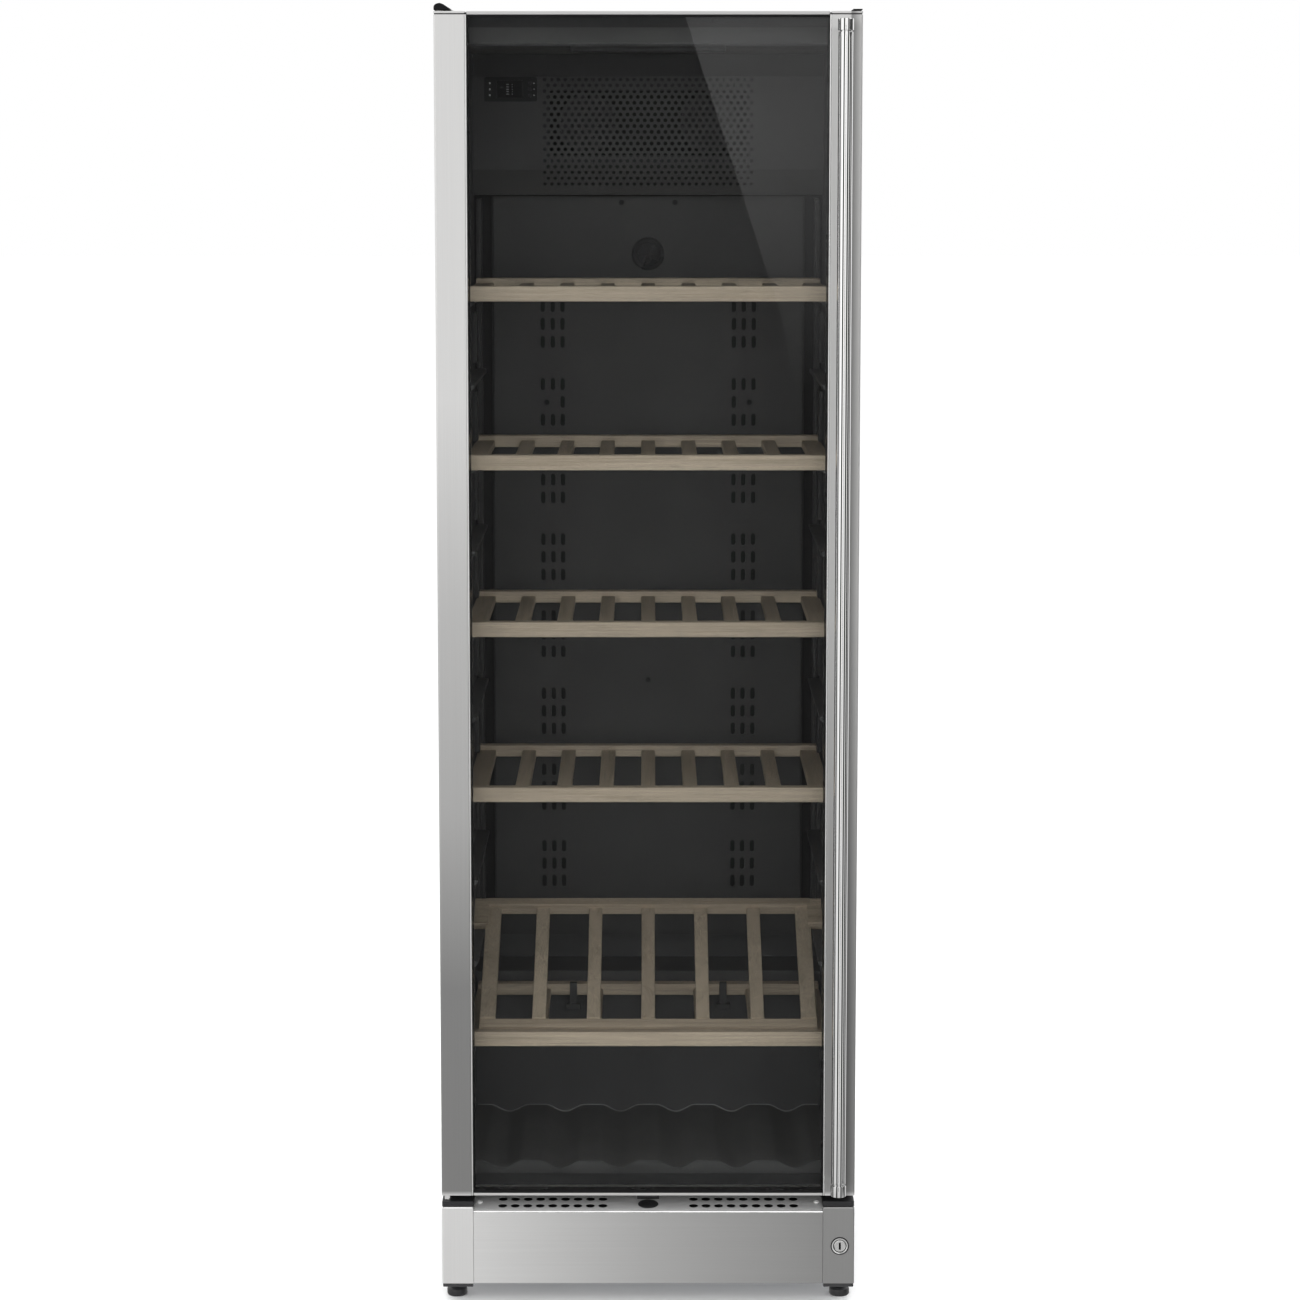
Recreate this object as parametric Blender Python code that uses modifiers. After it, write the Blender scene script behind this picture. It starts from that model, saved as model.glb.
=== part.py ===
"""A tall free-standing wine cabinet: glass door in a steel frame, wooden shelves, plinth with a key lock.

Metres. X runs to the right, Y to the back, Z up. The origin is on the floor under the middle of the cabinet.
Depths are measured back from the door's front face, and depth() turns one into a Y.
"""

import math

import bmesh
import bpy
from mathutils import Matrix, Vector

# Overall
HALF_WIDTH = 0.2975
DOOR_FRONT_Y = -0.2735
GAP = 0.0003
SHEET = 0.001

# Casing, measured as depths behind the door's front face
CASING_FRONT = 0.058
CASING_BACK = 0.580
REAR_LIMIT = 0.595
CASING_TOP = 1.850
CASING_BOTTOM = 0.034
OPENING_HALF_WIDTH = 0.2695
FLOOR_PAN_Z = 0.1315
COMPARTMENT_DEPTH = 0.4678
COMPARTMENT_TOP = 0.3728

# Cabin liner
CABIN_HALF_WIDTH = 0.267
LINER_WALL = 0.002
CABIN_BACK = 0.545
CABIN_FLOOR = 0.160
CABIN_CEILING = 1.805
SILL_TOP = 0.174
SILL_DEPTH = 0.076
HUMP_DEPTH = 0.438
HUMP_TOP = 0.400
LEDGE_PITCH = 0.120
LEDGE_COUNT = 10
LEDGE_REACH = 0.019
LEDGE_HEIGHT = 0.022
LEDGE_SETBACK = 0.026

# Door
DOOR_TOP = 1.849
DOOR_BOTTOM = 0.1643
DOOR_THICK = 0.046
STILE_INNER_X = 0.252
RAIL_TOP_HEIGHT = 0.005
RAIL_BOTTOM_HEIGHT = 0.0039
HINGE_X = -0.289
HINGE_DEPTH = 0.012
HINGE_HOLE = 0.0045
STILE_WALL = 0.0015
STILE_END_BLOCK = 0.030
HANDLE_X = 0.272
HANDLE_DEPTH = -0.037
HANDLE_RADIUS = 0.0103
HANDLE_END_RADIUS = 0.011
HANDLE_TOP = 1.8377
HANDLE_BOTTOM = 0.1737
HANDLE_END_LENGTH = 0.0165
POST_RADIUS = 0.008

# Plinth
COLUMN_TOP = 0.148
COLUMN_WALL = 0.0012
BLOCK_TOP = 0.1555
KICK_HALF_WIDTH = 0.2517
KICK_SLOPE = math.radians(8.5)
PLUG_DEPTH = 0.023
PLUG_RADIUS = 0.0132
LOCK_X = 0.2766
LOCK_Z = 0.0897
LOCK_BORE = 0.0086
BOLT_DEPTH = 0.0365
BOLT_RADIUS = 0.004
FOOT_X = 0.279
FOOT_FRONT_DEPTH = 0.060
FOOT_REAR_DEPTH = 0.540

# Shelves
SHELF_FRONT = 0.080
SHELF_HALF_WIDTH = 0.2645
RAIL_HEIGHT = 0.022
RAIL_DEPTH = 0.020
SLAT_DROP = 0.0085
SLAT_THICK = 0.012
SLAT_WIDTH = 0.021
EDGE_SLAT = (0.235, 0.2635)
SHELF_TOPS = (1.467, 1.227, 0.987, 0.747)
SHELF_DEPTH = 0.425
SHELF_SLAT_PITCH = 0.0613
DISPLAY_TOP = 0.387
DISPLAY_DEPTH = 0.350
DISPLAY_SLAT_PITCH = 0.080
LEDGE_DROP = SLAT_DROP + SLAT_THICK + GAP

# Display rack, leaning back on the lowest shelf
RACK_ANGLE = math.radians(23.8)
RACK_PIVOT_DEPTH = 0.106
RACK_LENGTH = 0.317
RACK_LOWER_HALF = 0.2474

# Cooling unit in the top of the cabin
COVER_FACE = 0.4812
COVER_SHEET = 0.0024
GRILLE_HALF_WIDTH = 0.160
GRILLE_LOW = 1.634
GRILLE_HIGH = 1.766
FAN_X = 0.092
FAN_Z = 1.700
FAN_HOLE = 0.0435
DUCT_FACE = 0.5262
FILTER_Z = 1.502

# Bottle cradle
TROUGH_PITCH = 0.086
TROUGH_WIDTH = 0.058
TROUGH_DROP = 0.012
TROUGH_FLOOR = 0.024
CRADLE_TOP = 0.190


def depth(distance):
    """The Y of a plane this far behind the door's front face."""
    return DOOR_FRONT_Y + distance


def clear_scene():
    for obj in list(bpy.data.objects):
        bpy.data.objects.remove(obj)


def new_collection(name):
    group = bpy.data.collections.new(name)
    bpy.context.scene.collection.children.link(group)
    return group


def finish(name, colour, roughness, metallic=0.0, alpha=1.0):
    made = bpy.data.materials.new(name)
    made.use_nodes = True
    shader = made.node_tree.nodes["Principled BSDF"]
    shader.inputs["Base Color"].default_value = (*colour, 1.0)
    shader.inputs["Roughness"].default_value = roughness
    shader.inputs["Metallic"].default_value = metallic
    shader.inputs["Alpha"].default_value = alpha
    return made


def add_part(name, bm, material, origin=(0, 0, 0)):
    """Makes a named sub-part from a bmesh in world space, with its origin where asked."""
    bmesh.ops.translate(bm, verts=bm.verts, vec=-Vector(origin))
    bmesh.ops.recalc_face_normals(bm, faces=bm.faces)
    mesh = bpy.data.meshes.new(name)
    bm.to_mesh(mesh)
    bm.free()
    mesh.materials.append(material)
    obj = bpy.data.objects.new(name, mesh)
    obj.location = origin
    PARTS.objects.link(obj)
    return obj


def add_tool(name, bm):
    """Makes a hidden solid that a Boolean cuts with or joins on."""
    bmesh.ops.recalc_face_normals(bm, faces=bm.faces)
    mesh = bpy.data.meshes.new(name)
    bm.to_mesh(mesh)
    bm.free()
    obj = bpy.data.objects.new(name, mesh)
    obj.hide_render = True
    obj.display_type = "WIRE"
    TOOLS.objects.link(obj)
    return obj


def combine(target, tool, operation):
    modifier = target.modifiers.new(tool.name, "BOOLEAN")
    modifier.solver = "EXACT"
    modifier.operation = operation
    modifier.object = tool


def cut(target, name, bm):
    combine(target, add_tool(name, bm), "DIFFERENCE")


def join(target, name, bm):
    combine(target, add_tool(name, bm), "UNION")


def boxes(*corner_pairs):
    """One bmesh that holds a box for each pair of opposite corners."""
    bm = bmesh.new()
    for low, high in corner_pairs:
        low, high = Vector(low), Vector(high)
        place = Matrix.Translation((low + high) / 2) @ Matrix.Diagonal((*(high - low), 1.0))
        bmesh.ops.create_cube(bm, size=1.0, matrix=place)
    return bm


def span(half_x, depths, heights):
    """Opposite corners of a box that is symmetric about the middle plane."""
    low = (-half_x, depth(depths[0]), heights[0])
    high = (half_x, depth(depths[1]), heights[1])
    return low, high


def side_span(side, xs, depths, heights):
    """Opposite corners of a box on the left (side -1) or right (side 1), with xs measured from the middle."""
    inner, outer = sorted((side * xs[0], side * xs[1]))
    return (inner, depth(depths[0]), heights[0]), (outer, depth(depths[1]), heights[1])


def rods(axis, segments, *specs):
    """One bmesh of cylinders along X, Y or Z. Each spec is (centre, radius, length)."""
    turn = {
        "X": Matrix.Rotation(math.pi / 2, 4, "Y"),
        "Y": Matrix.Rotation(math.pi / 2, 4, "X"),
        "Z": Matrix.Identity(4),
    }[axis]
    bm = bmesh.new()
    for centre, radius, length in specs:
        bmesh.ops.create_cone(
            bm,
            cap_ends=True,
            segments=segments,
            radius1=radius,
            radius2=radius,
            depth=length,
            matrix=Matrix.Translation(centre) @ turn,
        )
    return bm


def add_prism(bm, outline, axis, low, high):
    """Adds a flat outline, drawn out along one axis; its points are in the other two axes, in order."""
    if axis == "X":
        points, along = [(low, a, b) for a, b in outline], (high - low, 0, 0)
    elif axis == "Y":
        points, along = [(a, low, b) for a, b in outline], (0, high - low, 0)
    else:
        points, along = [(a, b, low) for a, b in outline], (0, 0, high - low)
    face = bm.faces.new([bm.verts.new(point) for point in points])
    grown = bmesh.ops.extrude_face_region(bm, geom=[face])
    moved = [item for item in grown["geom"] if isinstance(item, bmesh.types.BMVert)]
    bmesh.ops.translate(bm, verts=moved, vec=along)


def prism(outline, axis, low, high):
    """One bmesh that holds a flat outline drawn out along one axis."""
    bm = bmesh.new()
    add_prism(bm, outline, axis, low, high)
    return bm


def folded_sheet(name, path, axis, half_length, thickness, material, centre=0.0):
    """A bent sheet: an open path of (y, z) points drawn out along X, or of (x, y) points along Z."""
    bm = bmesh.new()
    if axis == "X":
        row = [bm.verts.new((centre - half_length, a, b)) for a, b in path]
        along = Vector((2 * half_length, 0, 0))
    else:
        row = [bm.verts.new((a, b, centre - half_length)) for a, b in path]
        along = Vector((0, 0, 2 * half_length))
    edges = [bm.edges.new(pair) for pair in zip(row[:-1], row[1:], strict=True)]
    grown = bmesh.ops.extrude_edge_only(bm, edges=edges)
    moved = [item for item in grown["geom"] if isinstance(item, bmesh.types.BMVert)]
    bmesh.ops.translate(bm, verts=moved, vec=along)
    obj = add_part(name, bm, material)
    solidify = obj.modifiers.new("thickness", "SOLIDIFY")
    solidify.thickness = thickness
    solidify.offset = 0.0
    solidify.use_even_offset = True
    return obj


def turned(name, profile, segments, material, location, rotation=(0, 0, 0)):
    """A turned solid: (radius, height) points from the top down, spun round the local Z axis."""
    bm = bmesh.new()
    points = [bm.verts.new((radius, 0, height)) for radius, height in profile]
    for pair in zip(points[:-1], points[1:], strict=True):
        bm.edges.new(pair)
    mesh = bpy.data.meshes.new(name)
    bm.to_mesh(mesh)
    bm.free()
    mesh.materials.append(material)
    obj = bpy.data.objects.new(name, mesh)
    obj.location = location
    obj.rotation_euler = rotation
    PARTS.objects.link(obj)
    screw = obj.modifiers.new("turn", "SCREW")
    screw.steps = segments
    screw.render_steps = segments
    screw.use_merge_vertices = True
    screw.merge_threshold = 0.00001
    return obj


def frame_ring(half_x, inner_half_x, depths, heights, inner_heights):
    """A rectangular ring as an outline with a hole, drawn as an outer box and the box to cut from it."""
    outer = boxes(span(half_x, depths, heights))
    reach = 0.01
    inner = boxes(span(inner_half_x, (depths[0] - reach, depths[1] + reach), inner_heights))
    return outer, inner


def build_casing(steel, foam, galvanised):
    casing = add_part(
        "outer_casing",
        boxes(span(HALF_WIDTH, (CASING_FRONT, CASING_BACK), (CASING_BOTTOM, CASING_TOP))),
        steel,
    )
    hollow = span(
        HALF_WIDTH - SHEET,
        (CASING_FRONT + SHEET, CASING_BACK + 0.02),
        (CASING_BOTTOM - 0.01, CASING_TOP - SHEET),
    )
    cut(casing, "casing_hollow", boxes(hollow))
    through = (CASING_FRONT - 0.01, CASING_FRONT + 0.01)
    door_opening = span(
        OPENING_HALF_WIDTH, through, (CABIN_FLOOR - 0.0025, CABIN_CEILING + 0.0025)
    )
    air_opening = span(STILE_INNER_X, through, (CASING_BOTTOM - 0.01, FLOOR_PAN_Z - SHEET))
    cut(casing, "casing_openings", boxes(door_opening, air_opening))

    inside = HALF_WIDTH - SHEET - GAP
    panel = span(
        inside, (CASING_BACK - 0.002, CASING_BACK - 0.001), (COMPARTMENT_TOP + 0.001, CASING_TOP - 0.0015)
    )
    add_part("rear_panel", boxes(panel), galvanised)

    pan_path = [
        (depth(CASING_FRONT + 0.0018), FLOOR_PAN_Z),
        (depth(COMPARTMENT_DEPTH), FLOOR_PAN_Z),
        (depth(COMPARTMENT_DEPTH), COMPARTMENT_TOP),
        (depth(CASING_BACK - 0.0025), COMPARTMENT_TOP),
    ]
    folded_sheet("floor_pan", pan_path, "X", inside, SHEET, galvanised)

    front = depth(CASING_FRONT + SHEET + GAP)
    back = depth(CASING_BACK - 0.002 - GAP)
    step = depth(COMPARTMENT_DEPTH - SHEET / 2 - GAP)
    low = FLOOR_PAN_Z + SHEET / 2 + GAP
    high = CASING_TOP - SHEET - GAP
    step_z = COMPARTMENT_TOP + SHEET / 2 + GAP
    outline = [(front, low), (step, low), (step, step_z), (back, step_z), (back, high), (front, high)]
    insulation = add_part("foam_insulation", prism(outline, "X", -inside, inside), foam)
    around = liner_outline(LINER_WALL + GAP, CASING_FRONT - 0.01)
    reach = CABIN_HALF_WIDTH + LINER_WALL + GAP
    cut(insulation, "foam_hollow", prism(around, "X", -reach, reach))


def liner_outline(grow, front_depth):
    """Side outline of the liner's outside, grown outwards by this much from the cabin's own walls."""
    front = depth(front_depth)
    hump = depth(HUMP_DEPTH + grow)
    back = depth(CABIN_BACK + grow)
    return [
        (front, CABIN_FLOOR - grow),
        (hump, CABIN_FLOOR - grow),
        (hump, HUMP_TOP - grow),
        (back, HUMP_TOP - grow),
        (back, CABIN_CEILING + grow),
        (front, CABIN_CEILING + grow),
    ]


def build_liner(plastic):
    outside = liner_outline(LINER_WALL, CASING_FRONT + GAP)
    reach = CABIN_HALF_WIDTH + LINER_WALL
    liner = add_part("inner_liner", prism(outside, "X", -reach, reach), plastic)
    mouth = depth(CASING_FRONT - 0.01)
    cabin = [
        (mouth, SILL_TOP),
        (depth(SILL_DEPTH), SILL_TOP),
        (depth(SILL_DEPTH), CABIN_FLOOR),
        (depth(HUMP_DEPTH), CABIN_FLOOR),
        (depth(HUMP_DEPTH), HUMP_TOP),
        (depth(CABIN_BACK), HUMP_TOP),
        (depth(CABIN_BACK), CABIN_CEILING),
        (mouth, CABIN_CEILING),
    ]
    cut(liner, "cabin_hollow", prism(cabin, "X", -CABIN_HALF_WIDTH, CABIN_HALF_WIDTH))
    ledges = bmesh.new()
    for level in range(LEDGE_COUNT):
        top = SHELF_TOPS[0] - level * LEDGE_PITCH - LEDGE_DROP
        back = HUMP_DEPTH + 0.001 if top < HUMP_TOP else 0.520
        for side in (-1, 1):
            outline = [
                (side * (CABIN_HALF_WIDTH - LEDGE_REACH), top),
                (side * (CABIN_HALF_WIDTH + 0.001), top),
                (side * (CABIN_HALF_WIDTH + 0.001), top - LEDGE_HEIGHT),
                (side * (CABIN_HALF_WIDTH - LEDGE_REACH), top - 0.005),
            ]
            add_prism(ledges, outline, "Y", depth(SHELF_FRONT + LEDGE_SETBACK), depth(back))
    join(liner, "shelf_ledges", ledges)


def build_base(galvanised, black_plastic):
    inside = HALF_WIDTH - SHEET - GAP
    pan = span(inside, (CASING_FRONT + 0.0013, CASING_BACK - 0.001), (0.0332, 0.0355))
    base = add_part("base_frame", boxes(pan), galvanised)
    skids = [
        side_span(side, (STILE_INNER_X, HALF_WIDTH - 0.0015), (0.005, CASING_BACK - 0.002), (0.0284, 0.0337))
        for side in (-1, 1)
    ]
    join(base, "base_skids", boxes(*skids))
    places = {
        "foot_front_left": (-FOOT_X, FOOT_FRONT_DEPTH),
        "foot_front_right": (FOOT_X, FOOT_FRONT_DEPTH),
        "foot_rear_left": (-FOOT_X, FOOT_REAR_DEPTH),
        "foot_rear_right": (FOOT_X, FOOT_REAR_DEPTH),
    }
    holes = [((x, depth(y), 0.030), 0.0046, 0.03) for x, y in places.values()]
    cut(base, "foot_holes", rods("Z", 16, *holes))
    profile = [
        (0, 0.0330),
        (0.004, 0.0330),
        (0.004, 0.0140),
        (0.0125, 0.0120),
        (0.0148, 0.0095),
        (0.0148, 0.0015),
        (0.0138, 0.0),
        (0, 0.0),
    ]
    for name, (x, y) in places.items():
        turned(name, profile, 20, black_plastic, (x, depth(y), 0))


def build_plinth(steel, black_plastic, chrome):
    edge_depth = SHEET / 2 + 0.0001
    flange_end = 0.057
    top = COLUMN_TOP - 0.0066
    flange_z = top + (flange_end - edge_depth) * math.tan(KICK_SLOPE)
    path = [
        (depth(0.030), CASING_BOTTOM + 0.0006),
        (depth(edge_depth), CASING_BOTTOM + 0.0006),
        (depth(edge_depth), top),
        (depth(flange_end), flange_z),
    ]
    kick = folded_sheet("kick_panel", path, "X", KICK_HALF_WIDTH, SHEET, steel)
    plug_z = top + (PLUG_DEPTH - edge_depth) * math.tan(KICK_SLOPE)
    plug_place = (0, depth(PLUG_DEPTH), plug_z)
    cut(kick, "plug_hole", rods("Z", 24, (plug_place, PLUG_RADIUS + 0.0004, 0.02)))
    slot = span(0.016, (0.041, 0.070), (top - 0.01, COLUMN_TOP + 0.01))
    cut(kick, "flange_slot", boxes(slot))
    plug = [(0, 0.0026), (0.0138, 0.0020), (0.0148, 0.0009), (PLUG_RADIUS - 0.0004, 0.0009)]
    plug += [(PLUG_RADIUS - 0.0004, -0.006), (0, -0.006)]
    turned("vent_plug", plug, 24, black_plastic, plug_place, (KICK_SLOPE, 0, 0))

    bolt_place = (LOCK_X, depth(BOLT_DEPTH), COLUMN_TOP)
    for side, label in ((-1, "left"), (1, "right")):
        xs = (STILE_INNER_X, HALF_WIDTH)
        inner = (STILE_INNER_X + COLUMN_WALL, HALF_WIDTH - COLUMN_WALL)
        shell = side_span(side, xs, (0.0, CASING_FRONT - GAP), (CASING_BOTTOM, COLUMN_TOP))
        column = add_part(f"plinth_column_{label}", boxes(shell), steel)
        heights = (CASING_BOTTOM + COLUMN_WALL, COLUMN_TOP - COLUMN_WALL)
        hollow = side_span(side, inner, (COLUMN_WALL, 0.07), heights)
        cut(column, f"column_hollow_{label}", boxes(hollow))
        body = side_span(side, (0.2522, 0.297), (0.001, 0.0575), (COLUMN_TOP + GAP, BLOCK_TOP))
        block = add_part(f"hinge_block_{label}", boxes(body), black_plastic)
        if side > 0:
            lock_hole = ((LOCK_X, depth(0.0), LOCK_Z), 0.0113, 0.01)
            cut(column, "lock_hole", rods("Y", 24, lock_hole))
            cut(column, "column_bolt_hole", rods("Z", 16, (bolt_place, BOLT_RADIUS + 0.0006, 0.02)))
            cut(block, "block_bolt_hole", rods("Z", 16, (bolt_place, BOLT_RADIUS + 0.0006, 0.04)))
        else:
            pin_place = (HINGE_X, depth(HINGE_DEPTH), BLOCK_TOP)
            cut(block, "block_pin_hole", rods("Z", 16, (pin_place, 0.0042, 0.012)))
    pin = [(0, 0.1805), (0.0028, 0.1805), (0.0035, 0.1795), (0.0035, 0.1640), (0.005, 0.1640)]
    pin += [(0.005, BLOCK_TOP + GAP), (0.0035, BLOCK_TOP + GAP), (0.0035, 0.1500), (0, 0.1500)]
    turned("lower_hinge_pin", pin, 20, chrome, (HINGE_X, depth(HINGE_DEPTH), 0))


def build_lock(chrome, black_plastic, steel):
    """The key lock in the right column. Its local Z axis points out of the front."""
    to_front = (math.pi / 2, 0, 0)
    place = (LOCK_X, depth(0.0), LOCK_Z)
    housing = [(LOCK_BORE, 0.0012), (0.0105, 0.0018), (0.0125, 0.0016), (0.01325, GAP), (0.0110, GAP)]
    housing += [(0.0110, -0.0260), (LOCK_BORE, -0.0260), (LOCK_BORE, 0.0012)]
    turned("lock_housing", housing, 28, black_plastic, place, to_front)
    radius = LOCK_BORE - 0.0003
    barrel = [(0, 0.0012), (radius - 0.0004, 0.0012), (radius, 0.0008), (radius, -0.0290), (0, -0.0290)]
    cylinder = turned("lock_cylinder", barrel, 24, chrome, place, to_front)
    key_half_width, key_half_height = 0.0015, 0.0055
    keyway = (
        (LOCK_X - key_half_width, depth(-0.01), LOCK_Z - key_half_height),
        (LOCK_X + key_half_width, depth(0.008), LOCK_Z + key_half_height),
    )
    cut(cylinder, "keyway", boxes(keyway))
    cam = (
        (LOCK_X - 0.0150, depth(0.0280), LOCK_Z - 0.0035),
        (LOCK_X + 0.0030, depth(0.0310), LOCK_Z + 0.0035),
    )
    join(cylinder, "lock_cam", boxes(cam))
    bolt = [(0, 0.1550), (0.0032, 0.1550), (BOLT_RADIUS, 0.1540), (BOLT_RADIUS, 0.0700), (0, 0.0700)]
    turned("lock_bolt", bolt, 16, steel, (LOCK_X, depth(BOLT_DEPTH), 0))


def build_top_hinge(steel, black_plastic):
    plate_xs = (-0.2955, -0.2730)
    plate = (
        (plate_xs[0], depth(0.004), CASING_TOP + GAP),
        (plate_xs[1], depth(0.118), CASING_TOP + 0.0022),
    )
    bracket = add_part("upper_hinge_bracket", boxes(plate), steel)
    pin_place = (HINGE_X, depth(HINGE_DEPTH), CASING_TOP - 0.0064)
    join(bracket, "upper_hinge_pin", rods("Z", 16, (pin_place, 0.004, 0.0150)))

    left, right, low = -0.2972, -0.2712, CASING_TOP + GAP
    crown_x, crown_z, shoulder = -0.2885, 1.860, 1.8545
    rise = [
        (
            crown_x - (crown_x - left) * math.cos(turn),
            shoulder + (crown_z - shoulder) * math.sin(turn),
        )
        for turn in (k * math.pi / 2 / 5 for k in range(6))
    ]
    outline = [(left, low), *rise, (-0.2820, 1.8592), (right + 0.001, 1.8536), (right, low)]
    cap = add_part("hinge_cap", prism(outline, "Y", depth(0.0008), depth(0.121)), black_plastic)
    pocket = (
        (plate_xs[0] - 0.0004, depth(0.0022), CASING_TOP - 0.01),
        (plate_xs[1] + 0.0004, depth(0.14), CASING_TOP + 0.0026),
    )
    cut(cap, "cap_pocket", boxes(pocket))

    blank = ((0.284, depth(0.003), CASING_TOP + GAP), (0.297, depth(0.062), CASING_TOP + 0.0020))
    add_part("blank_plate", boxes(blank), black_plastic)


def build_door(steel, glass, black_plastic, rubber, chrome):
    heights = (DOOR_BOTTOM, DOOR_TOP)
    for side, label in ((-1, "left"), (1, "right")):
        body = side_span(side, (STILE_INNER_X, HALF_WIDTH), (0.0, DOOR_THICK), heights)
        stile = add_part(f"door_stile_{label}", boxes(body), steel)
        hollow = side_span(
            side,
            (STILE_INNER_X + STILE_WALL, HALF_WIDTH - STILE_WALL),
            (STILE_WALL, DOOR_THICK + STILE_WALL),
            (DOOR_BOTTOM + STILE_END_BLOCK, DOOR_TOP - STILE_END_BLOCK),
        )
        cut(stile, f"stile_hollow_{label}", boxes(hollow))
        if side < 0:
            holes = [
                ((HINGE_X, depth(HINGE_DEPTH), DOOR_TOP), HINGE_HOLE, 0.032),
                ((HINGE_X, depth(HINGE_DEPTH), DOOR_BOTTOM), HINGE_HOLE, 0.036),
            ]
        else:
            holes = [((LOCK_X, depth(BOLT_DEPTH), DOOR_BOTTOM), BOLT_RADIUS + 0.001, 0.032)]
        cut(stile, f"stile_holes_{label}", rods("Z", 16, *holes))
    rail_half = STILE_INNER_X - GAP
    top_rail = span(rail_half, (0.0, DOOR_THICK), (DOOR_TOP - RAIL_TOP_HEIGHT, DOOR_TOP))
    add_part("door_top_rail", boxes(top_rail), steel)
    bottom_rail = span(rail_half, (0.0, DOOR_THICK), (DOOR_BOTTOM, DOOR_BOTTOM + RAIL_BOTTOM_HEIGHT))
    add_part("door_bottom_rail", boxes(bottom_rail), steel)

    glass_low = DOOR_BOTTOM + RAIL_BOTTOM_HEIGHT + GAP
    glass_high = DOOR_TOP - RAIL_TOP_HEIGHT - GAP
    glass_half = STILE_INNER_X - 0.0008
    add_part("outer_glass", boxes(span(glass_half, (0.002, 0.006), (glass_low, glass_high))), glass)
    add_part("inner_glass", boxes(span(glass_half, (0.030, 0.034), (glass_low, glass_high))), glass)
    rim = 0.0028
    outer, inner = frame_ring(
        glass_half,
        glass_half - rim,
        (0.006 + GAP, 0.030 - GAP),
        (glass_low, glass_high),
        (glass_low + rim, glass_high - rim),
    )
    spacer = add_part("glass_spacer", outer, black_plastic)
    cut(spacer, "spacer_window", inner)
    outer, inner = frame_ring(
        0.290,
        0.272,
        (DOOR_THICK + GAP, CASING_FRONT - 0.0005),
        (DOOR_BOTTOM + 0.001, DOOR_TOP - 0.003),
        (SILL_TOP + 0.0005, CABIN_CEILING + 0.007),
    )
    gasket = add_part("door_gasket", outer, rubber)
    cut(gasket, "gasket_window", inner)

    groove = 0.0009
    end_turns = [(0, 0), (HANDLE_END_RADIUS - 0.001, 0), (HANDLE_END_RADIUS, -0.001)]
    end_turns += [(HANDLE_END_RADIUS, -HANDLE_END_LENGTH)]
    end_turns += [(HANDLE_RADIUS - groove, -HANDLE_END_LENGTH - 0.0004)]
    end_turns += [(HANDLE_RADIUS - groove, -HANDLE_END_LENGTH - 0.0014)]
    end_turns += [(HANDLE_RADIUS, -HANDLE_END_LENGTH - 0.0018)]
    profile = [(radius, HANDLE_TOP + drop) for radius, drop in end_turns]
    profile += [(radius, HANDLE_BOTTOM - drop) for radius, drop in reversed(end_turns)]
    handle_y = depth(HANDLE_DEPTH)
    turned("handle_bar", profile, 24, chrome, (HANDLE_X, handle_y, 0))
    for label, height in (("top", HANDLE_TOP - 0.0085), ("bottom", HANDLE_BOTTOM + 0.0085)):
        front, back = HANDLE_DEPTH + 0.003, -GAP
        centre = (HANDLE_X, depth((front + back) / 2), height)
        post_bm = rods("Y", 20, (centre, POST_RADIUS, back - front))
        post = add_part(f"handle_post_{label}", post_bm, chrome)
        saddle = ((HANDLE_X, handle_y, height), HANDLE_END_RADIUS + GAP, 0.04)
        cut(post, f"post_saddle_{label}", rods("Z", 24, saddle))


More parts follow.
